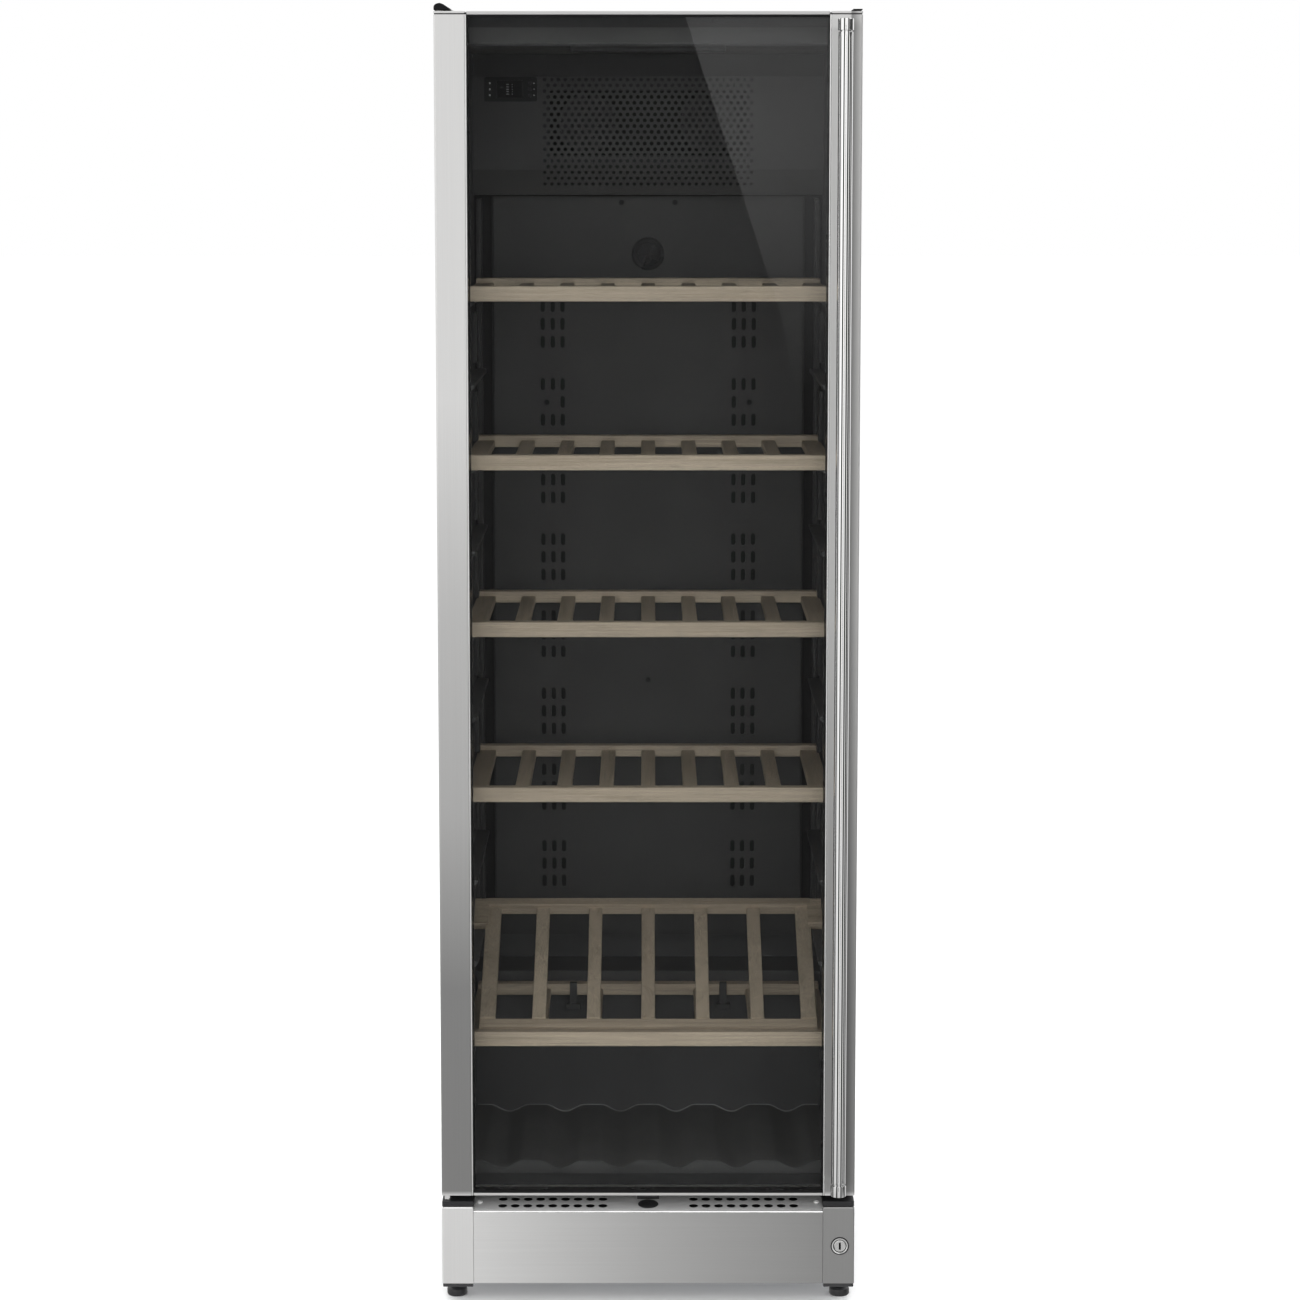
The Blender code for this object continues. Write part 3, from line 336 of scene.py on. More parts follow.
def dress(node_name, material, edge=0.0006):
    """Gives a CAD node a finished material and softly rounded edges."""
    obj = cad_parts[node_name]
    obj.data.materials.clear()
    obj.data.materials.append(material)
    weld = obj.modifiers.new("weld", "WELD")
    weld.merge_threshold = 0.00001
    if edge:
        bevel = obj.modifiers.new("edges", "BEVEL")
        bevel.width = edge
        bevel.segments = 2
        bevel.limit_method = "ANGLE"
        bevel.angle_limit = math.radians(40)
        bevel.harden_normals = False
    normals = obj.modifiers.new("normals", "WEIGHTED_NORMAL")
    normals.keep_sharp = True


# ---------------------------------------------------------------- material helpers


def new_material(name):
    """A material, its node tree and its shader."""
    made = bpy.data.materials.new(name)
    made.use_nodes = True
    return made, made.node_tree, made.node_tree.nodes["Principled BSDF"]


def add_node(tree, kind, settings=None, **inputs):
    """Adds a node; keyword names are its sockets, with _ for a space, and values or sockets go in."""
    made = tree.nodes.new(kind)
    for key, value in (settings or {}).items():
        setattr(made, key, value)
    for key, value in inputs.items():
        numbered = key[0] == "i" and key[1:].isdigit()
        socket = made.inputs[int(key[1:]) if numbered else key.replace("_", " ")]
        if isinstance(value, bpy.types.NodeSocket):
            tree.links.new(value, socket)
        else:
            socket.default_value = value
    return made


def vector_math(tree, operation, a, b):
    """The outputs of a sum with two vectors."""
    return add_node(tree, "ShaderNodeVectorMath", {"operation": operation}, i0=a, i1=b).outputs


def calculate(tree, operation, a, b):
    """The result of a sum with two numbers."""
    return add_node(tree, "ShaderNodeMath", {"operation": operation}, i0=a, i1=b).outputs[0]


def place_scaled(tree, scale):
    """Object coordinates multiplied by a scale along each axis."""
    coords = add_node(tree, "ShaderNodeTexCoord").outputs["Object"]
    return vector_math(tree, "MULTIPLY", coords, scale)[0]


def noise(tree, scale, detail=3.0, roughness=0.5, vector=None, distortion=0.0):
    """Noise between 0 and 1 over object coordinates, with its own scale along each axis."""
    vector = vector or place_scaled(tree, scale)
    made = add_node(tree, "ShaderNodeTexNoise", Vector=vector, Scale=1.0, Detail=detail, Roughness=roughness)
    made.inputs["Distortion"].default_value = distortion
    return made.outputs["Fac"]


def to_range(tree, value, low, high, from_low=0.3, from_high=0.7):
    """A value taken from one range to another and held inside it; noise spans about 0.3 to 0.7."""
    made = add_node(tree, "ShaderNodeMapRange", Value=value, From_Min=from_low, From_Max=from_high)
    made.inputs["To Min"].default_value = low
    made.inputs["To Max"].default_value = high
    return made.outputs["Result"]


def ramp(tree, value, stops):
    """A colour ramp of (position, colour) stops."""
    made = tree.nodes.new("ShaderNodeValToRGB")
    tree.links.new(value, made.inputs["Fac"])
    elements = made.color_ramp.elements
    while len(elements) < len(stops):
        elements.new(0.5)
    for element, (position, colour) in zip(elements, stops):
        element.position = position
        element.color = (*colour, 1.0)
    return made.outputs["Color"]


def multiply(tree, a, b):
    return calculate(tree, "MULTIPLY", a, b)


def shaded(tree, colour, factor):
    """A colour, fixed or from a socket, times a factor socket."""
    return add_node(tree, "ShaderNodeVectorMath", {"operation": "SCALE"}, i0=colour, Scale=factor).outputs[0]


def bump(tree, shader, height, strength, distance):
    """Fine relief from a height socket."""
    made = add_node(tree, "ShaderNodeBump", Height=height, Strength=strength, Distance=distance)
    tree.links.new(made.outputs["Normal"], shader.inputs["Normal"])
    return made


def object_axis(tree, number):
    """One object coordinate: X is 0, Y is 1 and Z is 2."""
    coords = add_node(tree, "ShaderNodeTexCoord").outputs["Object"]
    return add_node(tree, "ShaderNodeSeparateXYZ", Vector=coords).outputs[number]


def fill_in(tree, shader, colour, tone, rough, metallic=0.0):
    """A shader's colour times a tone socket, its roughness socket and how metallic it is."""
    tree.links.new(shaded(tree, colour, tone), shader.inputs["Base Color"])
    tree.links.new(rough, shader.inputs["Roughness"])
    shader.inputs["Metallic"].default_value = metallic


# ---------------------------------------------------------------- materials


def brushed_steel(name, lengthwise, painted_reflection, tint=(0.66, 0.657, 0.650), rough=0.40):
    """Steel brushed along X (0) or Z (2). painted_reflection holds (place, share of full brightness) along
    one axis: a painted reflection, lighter or darker by place.
    """
    made, tree, shader = new_material(name)
    fine = [2600.0, 2600.0, 2600.0]
    broad = [420.0, 420.0, 420.0]
    fine[lengthwise], broad[lengthwise] = 6.0, 2.2
    hair = noise(tree, fine, detail=4.0, roughness=0.7)
    band = noise(tree, broad, detail=3.0, roughness=0.6)
    axis, low, high, curve = painted_reflection
    along = to_range(tree, object_axis(tree, axis), 0.0, 1.0, low, high)
    tone = ramp(tree, along, [(place, tuple(c * share for c in tint)) for place, share in curve])
    streaks = multiply(tree, to_range(tree, hair, 0.97, 1.03), to_range(tree, band, 0.985, 1.015))
    fill_in(tree, shader, tone, streaks, to_range(tree, hair, rough - 0.02, rough + 0.03), 1.0)
    shader.inputs["Anisotropic"].default_value = 0.9
    across = (0.0, 0.0, 1.0) if lengthwise == 0 else (1.0, 0.0, 0.0)
    settings = {"vector_type": "VECTOR", "convert_from": "OBJECT", "convert_to": "WORLD"}
    turned = add_node(tree, "ShaderNodeVectorTransform", settings, Vector=across)
    tree.links.new(turned.outputs[0], shader.inputs["Tangent"])
    bump(tree, shader, hair, 0.03, 0.00003)
    return made


def painted_handle_shadow(material, start, end, share):
    """Painted shadow of the handle: darkens the steel beside the handle, fading out along X."""
    tree = material.node_tree
    colour = tree.nodes["Principled BSDF"].inputs["Base Color"]
    before = colour.links[0].from_socket
    x = object_axis(tree, 0)
    fade = to_range(tree, x, share, 1.0, start, end)
    begin = to_range(tree, x, 1.0, 0.0, start - 0.004, start)
    factor = calculate(tree, "MAXIMUM", fade, begin)
    tree.links.new(shaded(tree, before, factor), colour)
    return material


def fluted_steel(name, centre, grooves, first_turn):
    """Bright steel with painted shade darkening its narrow grooves round an upright bar."""
    made, tree, shader = new_material(name)
    coords = add_node(tree, "ShaderNodeTexCoord").outputs["Object"]
    local = vector_math(tree, "SUBTRACT", coords, (*centre, 0.0))[0]
    parts = add_node(tree, "ShaderNodeSeparateXYZ", Vector=local).outputs
    turn = calculate(tree, "ARCTAN2", parts[1], parts[0])
    phase = to_range(tree, turn, -grooves / 2, grooves / 2, -math.pi + first_turn, math.pi + first_turn)
    phase.node.clamp = False
    share = calculate(tree, "PINGPONG", phase, 0.5)
    smear = noise(tree, (60.0, 60.0, 9.0), detail=4.0)
    # Painted shade: the grooves fall to a small share of the steel's brightness.
    tone = multiply(tree, to_range(tree, share, 0.06, 1.0, 0.13, 0.20), to_range(tree, smear, 0.96, 1.03))
    fill_in(tree, shader, (0.88, 0.88, 0.875), tone, to_range(tree, smear, 0.07, 0.10), 1.0)
    return made


def polished_steel(name="polished_steel", rough=0.13, tint=(0.80, 0.80, 0.79)):
    made, tree, shader = new_material(name)
    smear = noise(tree, (60.0, 60.0, 9.0), detail=4.0)
    hair = noise(tree, (3000.0, 3000.0, 12.0), detail=2.0)
    dull = to_range(tree, smear, rough - 0.03, rough + 0.05)
    fill_in(tree, shader, tint, to_range(tree, smear, 0.95, 1.03), dull, 1.0)
    bump(tree, shader, hair, 0.05, 0.00004)
    return made


def satin_sheet(name, tint):
    """Bent steel seen against its brushing: dull, with faint lines along X."""
    made, tree, shader = new_material(name)
    hair = noise(tree, (6.0, 2400.0, 2400.0), detail=4.0, roughness=0.7)
    fill_in(tree, shader, tint, to_range(tree, hair, 0.94, 1.05), to_range(tree, hair, 0.42, 0.54), 0.45)
    bump(tree, shader, hair, 0.08, 0.00005)
    return made


def zinc():
    """Galvanised sheet with its spangle."""
    made, tree, shader = new_material("galvanised_sheet")
    vector = place_scaled(tree, (70.0, 70.0, 70.0))
    cells = add_node(tree, "ShaderNodeTexVoronoi", Vector=vector, Scale=1.0)
    grey = add_node(tree, "ShaderNodeSeparateColor", Color=cells.outputs["Color"]).outputs[0]
    tone = to_range(tree, grey, 0.86, 1.06, 0.0, 1.0)
    fill_in(tree, shader, (0.50, 0.51, 0.53), tone, to_range(tree, grey, 0.34, 0.52, 0.0, 1.0), 0.9)
    bump(tree, shader, noise(tree, (900.0, 900.0, 900.0)), 0.15, 0.0001)
    return made


def casing_paint():
    """Silver-grey powder paint, with its fine orange peel."""
    made, tree, shader = new_material("casing_paint")
    peel = noise(tree, (650.0, 650.0, 650.0), detail=2.0)
    cloud = noise(tree, (3.0, 3.0, 3.0), detail=4.0)
    fleck = noise(tree, (4000.0, 4000.0, 4000.0), detail=1.0)
    tone = multiply(tree, to_range(tree, cloud, 0.97, 1.03), to_range(tree, fleck, 0.94, 1.06))
    fill_in(tree, shader, (0.40, 0.405, 0.41), tone, to_range(tree, peel, 0.36, 0.46), 0.55)
    bump(tree, shader, peel, 0.22, 0.00018)
    return made


def moulded_plastic(name, colour, rough=0.42, grain=1500.0, strength=0.25, coat=0.0, shine=0.5):
    """Moulded plastic: fine spark-eroded grain and slight unevenness."""
    made, tree, shader = new_material(name)
    texture = noise(tree, (grain, grain, grain), detail=3.0, roughness=0.6)
    cloud = noise(tree, (14.0, 14.0, 14.0), detail=4.0)
    tone = multiply(tree, to_range(tree, cloud, 0.90, 1.10), to_range(tree, texture, 0.93, 1.07))
    fill_in(tree, shader, colour, tone, to_range(tree, cloud, rough - 0.05, rough + 0.06))
    shader.inputs["Coat Weight"].default_value = coat
    shader.inputs["Specular IOR Level"].default_value = shine
    bump(tree, shader, texture, strength, 0.00012)
    return made


def painted_duct_shade(material, start, end, share, sill):
    """Painted shade: darkens a plastic's colour behind a depth and above a height, inside the duct."""
    tree = material.node_tree
    colour = tree.nodes["Principled BSDF"].inputs["Base Color"]
    before = colour.links[0].from_socket
    deep = to_range(tree, object_axis(tree, 1), 1.0, share, start, end)
    below = to_range(tree, object_axis(tree, 2), 1.0, 0.0, sill - 0.002, sill + 0.002)
    fall = calculate(tree, "MAXIMUM", deep, below)
    tree.links.new(shaded(tree, before, fall), colour)
    return material


def rubber():
    made, tree, shader = new_material("gasket_rubber")
    dust = noise(tree, (90.0, 90.0, 90.0), detail=5.0)
    tone, rough = to_range(tree, dust, 0.8, 1.35), to_range(tree, dust, 0.62, 0.80)
    fill_in(tree, shader, (0.030, 0.030, 0.031), tone, rough)
    bump(tree, shader, noise(tree, (1200.0, 1200.0, 1200.0)), 0.2, 0.0001)
    return made


def black_enamel():
    """Glossy black enamel on pressed steel and wire."""
    made, tree, shader = new_material("black_enamel")
    runs = noise(tree, (45.0, 45.0, 12.0), detail=4.0)
    tone, rough = to_range(tree, runs, 0.8, 1.3), to_range(tree, runs, 0.24, 0.40)
    fill_in(tree, shader, (0.018, 0.018, 0.019), tone, rough)
    bump(tree, shader, noise(tree, (380.0, 380.0, 380.0)), 0.2, 0.0002)
    return made


def foam():
    made, tree, shader = new_material("foam")
    vector = place_scaled(tree, (420.0, 420.0, 420.0))
    cells = add_node(tree, "ShaderNodeTexVoronoi", Vector=vector, Scale=1.0).outputs["Distance"]
    tone = to_range(tree, cells, 0.80, 1.05, 0.0, 0.8)
    tree.links.new(shaded(tree, (0.78, 0.70, 0.44), tone), shader.inputs["Base Color"])
    shader.inputs["Roughness"].default_value = 0.95
    bump(tree, shader, cells, 0.5, 0.0008)
    return made


def wood(name, lengthwise, light, dark):
    """Oiled beech: long grain lines, short dark flecks and a slow change of tone from board to board."""
    made, tree, shader = new_material(name)
    coarse, line, fleck = [70.0] * 3, [520.0] * 3, [900.0] * 3
    coarse[lengthwise], line[lengthwise], fleck[lengthwise] = 3.0, 7.0, 70.0
    board = add_node(tree, "ShaderNodeAttribute", {"attribute_name": "board"}).outputs["Fac"]
    coords = add_node(tree, "ShaderNodeTexCoord").outputs["Object"]
    shift = shaded(tree, (3.1, 1.7, 2.3), board)
    moved = vector_math(tree, "ADD", coords, shift)[0]

    def grain(scale, detail, distortion=0.0):
        vector = vector_math(tree, "MULTIPLY", moved, scale)[0]
        return noise(tree, None, detail=detail, roughness=0.6, vector=vector, distortion=distortion)

    waves, lines, flecks = grain(coarse, 3.0, 0.6), grain(line, 3.0), grain(fleck, 2.0)
    tone = ramp(tree, waves, [(0.30, dark), (0.55, light), (0.75, tuple(c * 0.92 for c in light))])
    fine = multiply(tree, to_range(tree, lines, 0.80, 1.12), to_range(tree, flecks, 0.82, 1.04, 0.24, 0.5))
    per_board = to_range(tree, board, 0.90, 1.10, 0.0, 1.0)
    fill_in(tree, shader, tone, multiply(tree, fine, per_board), to_range(tree, lines, 0.42, 0.58))
    bump(tree, shader, lines, 0.25, 0.00015)
    return made


def glass(name, tint, mirror):
    """A tinted pane whose faces mirror more at a glancing angle, by Schlick's rule."""
    made, tree, shader = new_material(name)
    tree.nodes.remove(shader)
    haze = noise(tree, (2.0, 2.0, 2.0), detail=2.0)
    clear = add_node(tree, "ShaderNodeBsdfTransparent")
    tree.links.new(shaded(tree, tint, to_range(tree, haze, 0.985, 1.0)), clear.inputs["Color"])
    gloss = add_node(tree, "ShaderNodeBsdfGlossy", Roughness=0.0)
    gloss.inputs["Color"].default_value = (mirror, mirror, mirror, 1.0)
    head_on = 0.04
    facing_away = add_node(tree, "ShaderNodeLayerWeight", Blend=0.5).outputs["Facing"]
    glancing = calculate(tree, "POWER", facing_away, 5.0)
    share = to_range(tree, glancing, head_on, 1.0, 0.0, 1.0)
    mixed = add_node(tree, "ShaderNodeMixShader", Fac=share)
    tree.links.new(clear.outputs[0], mixed.inputs[1])
    tree.links.new(gloss.outputs[0], mixed.inputs[2])
    tree.links.new(mixed.outputs[0], tree.nodes["Material Output"].inputs["Surface"])
    return made


def plain_mark(name, colour, rough=0.5):
    """Printed ink for small generic marks."""
    made, tree, shader = new_material(name)
    speck = noise(tree, (2500.0, 2500.0, 2500.0))
    tree.links.new(shaded(tree, colour, to_range(tree, speck, 0.85, 1.05)), shader.inputs["Base Color"])
    shader.inputs["Roughness"].default_value = rough
    return made


DOOR_Z = (BOX["door_stile_left"][0].z, BOX["door_stile_left"][1].z)
# Painted reflection up the stiles: a bright band at the very bottom, then darker low down and lighter higher
# up.
LEFT_PAINTED_REFLECTION = [(0.0, 1.45), (0.0013, 1.45), (0.0018, 0.50), (0.18, 0.485)]
LEFT_PAINTED_REFLECTION += [(0.33, 0.83), (0.5, 0.93), (0.68, 1.21), (1.0, 1.12)]
RIGHT_PAINTED_REFLECTION = [(0.0, 1.45), (0.0013, 1.45), (0.0018, 0.58), (0.18, 0.65), (0.5, 1.05), (1.0, 1.04)]
KICK_SLOPE = math.radians(8.5)
# Painted reflection across the kick panel: bright at the left, darker to the right.
KICK_PAINTED_REFLECTION = [(0.0, 1.36), (0.3, 1.07), (0.5, 0.89), (0.7, 0.76), (1.0, 0.59)]
HANDLE_CENTRE = (BOX["handle_bar"][0] + BOX["handle_bar"][1]) / 2
FLUTES = 11
FIRST_FLUTE = math.radians(26.2)
M = {
    "stile_left": brushed_steel("brushed_steel_left", 2, (2, *DOOR_Z, LEFT_PAINTED_REFLECTION)),
    # Painted shadow of the handle on the right stile.
    "stile_right": painted_handle_shadow(
        brushed_steel("brushed_steel_right", 2, (2, *DOOR_Z, RIGHT_PAINTED_REFLECTION)),
        BOX["handle_bar"][1].x + 0.0010,
        0.2965,
        0.42,
    ),
    # Painted reflection: the rail a little lighter at the left, and the left column over twice as bright as
    # the right one.
    "rail": brushed_steel("brushed_steel_rail", 0, (0, -0.25, 0.25, [(0.0, 1.15), (1.0, 1.05)])),
    "kick": brushed_steel("brushed_steel_kick", 0, (0, -0.25, 0.25, KICK_PAINTED_REFLECTION)),
    "column_left": brushed_steel("brushed_steel_column_left", 2, (2, 0.0, 0.15, [(0.0, 1.47), (1.0, 1.49)])),
    "column_right": brushed_steel(
        "brushed_steel_column_right", 2, (2, 0.0, 0.15, [(0.0, 0.60), (1.0, 0.60)])
    ),
    "flange": satin_sheet("satin_flange", (0.54, 0.54, 0.538)),
    "screw": satin_sheet("screw_steel", (0.97, 0.97, 0.96)),
    "bare": brushed_steel("bare_steel", 0, (0, -0.3, 0.3, [(0.0, 0.95), (1.0, 0.95)]), rough=0.35),
    "polished": polished_steel(),
    # A brighter, glossier steel on the bend than on the plate: painted highlight along the kick panel's top
    # edge.
    "bend": polished_steel("bent_steel", 0.20, (0.97, 0.97, 0.965)),
    "fluted": fluted_steel("fluted_steel", HANDLE_CENTRE.xy, FLUTES, FIRST_FLUTE),
    "zinc": zinc(),
    "paint": casing_paint(),
    # Painted shade inside the duct behind the slotted panel.
    "liner": painted_duct_shade(
        moulded_plastic("liner_plastic", (0.092, 0.092, 0.094), rough=0.50),
        depth(0.528), depth(0.544), 0.10, BOX["duct_panel"][0].z
    ),
    "liner_dark": moulded_plastic("liner_plastic_dark", (0.045, 0.045, 0.047), rough=0.50),
    "panel": moulded_plastic("panel_plastic", (0.063, 0.063, 0.0635), rough=0.45, grain=1100.0),
    "black": moulded_plastic("black_plastic", (0.012, 0.012, 0.013), rough=0.40),
    "cradle": moulded_plastic("cradle_plastic", (0.112, 0.112, 0.113), rough=0.46, grain=900.0),
    "rim_front": moulded_plastic("cradle_rim_front", (0.105, 0.105, 0.108), rough=0.40, grain=900.0),
    # The back rim is over three times as light as the tray: painted highlight along the cradle's back edge.
    "rim_back": moulded_plastic("cradle_rim_back", (0.370, 0.370, 0.375), rough=0.34, grain=900.0),
    "display": moulded_plastic("display_plastic", (0.012, 0.012, 0.013), rough=0.10, strength=0.03, coat=0.6),
    "lens": moulded_plastic("lamp_plastic", (0.034, 0.034, 0.035), rough=0.62, grain=700.0),
    "ring": moulded_plastic("lock_plastic", (0.030, 0.030, 0.032), rough=0.30),
    "cap": moulded_plastic("cap_plastic", (0.012, 0.012, 0.013), rough=0.42, shine=0.25),
    # Matt black plastic; also used as painted shade for the black fills in the keyway and under the kick
    # flange.
    "matt_black_and_shade": moulded_plastic("matt_black_plastic", (0.0035, 0.0035, 0.0038), rough=0.55, shine=0.10),
    "rubber": rubber(),
    "enamel": black_enamel(),
    "fins": moulded_plastic("coated_fins", (0.016, 0.016, 0.018), rough=0.45, grain=700.0),
    "foam": foam(),
    "rail_wood": wood("beech_rail", 0, (0.58, 0.485, 0.375), (0.47, 0.385, 0.29)),
    "slat_wood": wood("beech_slat", 1, (0.56, 0.47, 0.365), (0.44, 0.365, 0.275)),
    "tinted": glass("tinted_glass", (0.86, 0.86, 0.86), 1.0),
    "clear": glass("clear_glass", (0.97, 0.975, 0.97), 0.6),
    "border": moulded_plastic("printed_border", (0.006, 0.006, 0.006), rough=0.25, strength=0.02),
    "mark": plain_mark("white_ink", (0.75, 0.75, 0.75)),
    "dim_mark": plain_mark("dim_segments", (0.34, 0.35, 0.36)),
}


# ---------------------------------------------------------------- door


def build_stiles():
    """Each upright: the brushed face, a polished inner edge, and a cap on top with a dark seam under it."""
    trim, cap, seam, inset = 0.0024, 0.0033, 0.0013, 0.0012
    for side, name in ((-1, "left"), (1, "right")):
        low, high = BOX[f"door_stile_{name}"]
        inner_x = low.x if side > 0 else high.x
        face_low, face_high = sorted((inner_x + side * trim, high.x if side > 0 else low.x))
        outer, inner = 0.0030, 0.0008
        radii = [inner, outer, outer, inner] if side > 0 else [outer, inner, inner, outer]
        seam_low, seam_high = high.z - cap - seam, high.z - cap
        bm = bmesh.new()
        for z_low, z_high in ((low.z, seam_low), (seam_high, high.z)):
            piece = bmesh.new()
            outline = rectangle(face_low, low.y, face_high, high.y)
            add_prism(piece, filleted(outline, radii, 5), "Z", z_low, z_high)
            ends = [e for e in piece.edges if abs(e.verts[0].co.z - e.verts[1].co.z) < 1e-9]
            round_edges(piece, ends, 0.0006, 2)
            if side > 0 and z_low == low.z:
                drill_keeper(piece, z_low)
            merge(bm, piece)
        make_piece(f"stile_{name}", bm, M[f"stile_{name}"], "door", "brushed_steel", f"door_stile_{name}")
        bm = bmesh.new()
        edge_low, edge_high = sorted((inner_x, inner_x + side * (trim - 0.0001)))
        outline = filleted(rectangle(edge_low, low.y + 0.0002, edge_high, high.y - 0.0010), 0.0009, 4)
        add_prism(bm, outline, "Z", low.z + 0.0002, seam_low)
        make_piece(f"stile_edge_{name}", bm, M["polished"], "door", "brushed_steel")
        bm = bmesh.new()
        seam_corner = (low.x + inset, low.y + inset, seam_low - 0.001)
        add_box(bm, seam_corner, (high.x - inset, high.y - inset, seam_high + 0.001))
        make_piece(f"stile_seam_{name}", bm, M["cap"], "door", "black_plastic")


def drill_keeper(bm, z):
    """Opens the blind hole for the lock bolt in an upright's flat foot."""
    bolt_low, bolt_high = BOX["lock_bolt"]
    centre = ((bolt_low.x + bolt_high.x) / 2, (bolt_low.y + bolt_high.y) / 2)
    radius, height, steps = (bolt_high.x - bolt_low.x) / 2 + 0.0006, 0.0105, 24
    foot = [face for face in bm.faces if all(abs(vert.co.z - z) < 1e-6 for vert in face.verts)]
    loop = [(vert.co.x, vert.co.y) for vert in foot[0].verts]
    bmesh.ops.delete(bm, geom=foot, context="FACES_ONLY")
    verts, triangles = flat_pieces(counter_clockwise(loop), [circle(centre, radius, steps)])
    made = [bm.verts.new((vert.x, vert.y, z)) for vert in verts]
    for triangle in triangles:
        bm.faces.new([made[k] for k in triangle])
    add_lathe(bm, [(radius, 0.0), (radius, height), (0.0, height)], Matrix.Translation((*centre, z)), steps)
    bmesh.ops.remove_doubles(bm, verts=bm.verts, dist=1e-6)


def build_rails():
    for name in ("top", "bottom"):
        low, high = BOX[f"door_{name}_rail"]
        bm = bmesh.new()
        add_box(bm, low, high)
        soften(bm, 0.0010)
        make_piece(f"rail_{name}", bm, M["rail"], "door", "brushed_steel", f"door_{name}_rail")
    bm = bmesh.new()
    pane_low, pane_high = BOX["outer_glass"]
    inside = STILE_INNER - 0.0004
    below, above = (pane_low.z - 0.0001, pane_low.z + 0.0040), (pane_high.z - 0.0030, pane_high.z + 0.0001)
    for z_low, z_high in (below, above):
        add_box(bm, (-inside, depth(0.0006), z_low), (inside, pane_low.y - 0.0001, z_high))
    soften(bm, 0.0004, 2)
    make_piece("glass_retainers", bm, M["matt_black_and_shade"], "door", "black_plastic")


def build_glazing():
    dress("outer_glass", M["tinted"], 0.0)
    dress("inner_glass", M["clear"], 0.0)
    low, high = BOX["glass_spacer"]
    bm = bmesh.new()
    rim, chamfer = 0.0014, 0.001
    near, back = low.y + 0.0004, high.y
    profile = [(0.0, near), (rim - chamfer, near), (rim, near + chamfer)]
    profile += [(rim, back - chamfer), (rim - chamfer, back), (0.0, back)]
    add_frame(bm, high.x, (low.z, high.z), profile)
    make_piece("spacer_frame", bm, M["border"], "door", "black_plastic", "glass_spacer")


def build_gasket():
    low, high = BOX["door_gasket"]
    width = 0.018
    face = low.y
    back = high.y
    bellows = [
        (0.0, face),
        (width, face),
        (width - 0.001, face + 0.0022),
        (width - 0.004, face + 0.0036),
        (width - 0.0015, face + 0.0052),
        (width - 0.0015, back - 0.0012),
        (width - 0.0030, back),
        (0.0030, back),
        (0.0015, back - 0.0012),
        (0.0015, face + 0.0052),
        (0.0040, face + 0.0036),
        (0.0010, face + 0.0022),
    ]
    bm = bmesh.new()
    add_frame(bm, high.x, (low.z, high.z), bellows)
    make_piece("door_seal", bm, M["rubber"], "door", "gasket_rubber", "door_gasket")


def build_handle():
    low, high = BOX["handle_bar"]
    x, y = (low.x + high.x) / 2, (low.y + high.y) / 2
    full = (high.x - low.x) / 2
    bar, flute_depth, around = 0.0103, 0.0005, 176
    end, groove = 0.0165, 0.0014

    def ring(bm, z, radius, cut):
        points = []
        for k in range(around):
            turn = TURN * k / around
            r = radius - cut * (1 - abs(math.sin((turn - FIRST_FLUTE) * FLUTES / 2))) ** 2
            points.append(bm.verts.new((x + r * math.cos(turn), y + r * math.sin(turn), z)))
        return points

    def half(z_end, way):
        """Rings from the end's middle to the start of the fluted stretch, as (distance, radius, flute)."""
        steps = [(0.0, full - 0.0016), (0.0004, full - 0.0007), (0.0012, full)]
        steps += [(end - 0.0005, full), (end, full - 0.0004)]
        steps += [(end + 0.0003, bar - groove), (end + 0.0018, bar - groove)]
        steps += [(end + 0.0021, bar - 0.0003), (end + 0.0026, bar), (end + 0.0060, bar)]
        return [(z_end + way * distance, radius, 0.0) for distance, radius in steps]

    lower = half(low.z, 1)
    upper = half(high.z, -1)
    middle_low, middle_high = lower[-1][0] + 0.004, upper[-1][0] - 0.004
    rows = lower + [(middle_low, bar, flute_depth), (middle_high, bar, flute_depth)] + upper[::-1]
    bm = bmesh.new()
    rings = [ring(bm, *row) for row in rows]
    for first, second in zip(rings[:-1], rings[1:]):
        join_rings(bm, first, second)
    bm.faces.new(rings[0])
    bm.faces.new(rings[-1])
    make_piece("handle_tube", bm, M["fluted"], "door", "polished_steel", "handle_bar", smooth=42)

    for name in ("top", "bottom"):
        low, high = BOX[f"handle_post_{name}"]
        z = (low.z + high.z) / 2
        length = high.y - low.y
        bm = bmesh.new()
        profile = [(0.0, -0.0001), (0.0096, -0.0001), (0.0098, 0.0003), (0.0098, 0.0016)]
        profile += [(0.0092, 0.0021), (0.0074, 0.0024), (0.0072, 0.0040)]
        profile += [(0.0072, length - 0.0002), (0.0, length - 0.0002)]
        top_radius = (high.x - low.x) / 2
        profile = [(min(r, top_radius), h) for r, h in profile]
        add_lathe(bm, profile, facing((x, high.y, z), (0, -1, 0)), 40)
        make_piece(f"handle_foot_{name}", bm, M["polished"], "door", "polished_steel", f"handle_post_{name}")


# ---------------------------------------------------------------- plinth


def screw_bmesh(bm, place, radius=0.0035, rise=0.0016, flat=0.80):
    """A pan head with a cross recess. Its local Z points out."""
    arm, width, sink = radius * 0.55, radius * 0.16, rise * 0.7
    cross = []
    for k in range(4):
        turn = TURN * k / 4
        c, s = math.cos(turn), math.sin(turn)
        cross += [(c * arm - s * -width, s * arm + c * -width), (c * arm - s * width, s * arm + c * width)]
        cross += [(c * width - s * width, s * width + c * width)]
    crown = radius * flat
    add_plate(bm, circle((0, 0), crown, 28), [cross], place, rise, rise - sink)
    shoulder = crown + (radius - crown) * 0.65
    profile = [(crown, rise), (shoulder, rise * 0.88), (radius, rise * 0.62), (radius, 0.0), (0.0, 0.0)]
    add_lathe(bm, profile, place, 28)


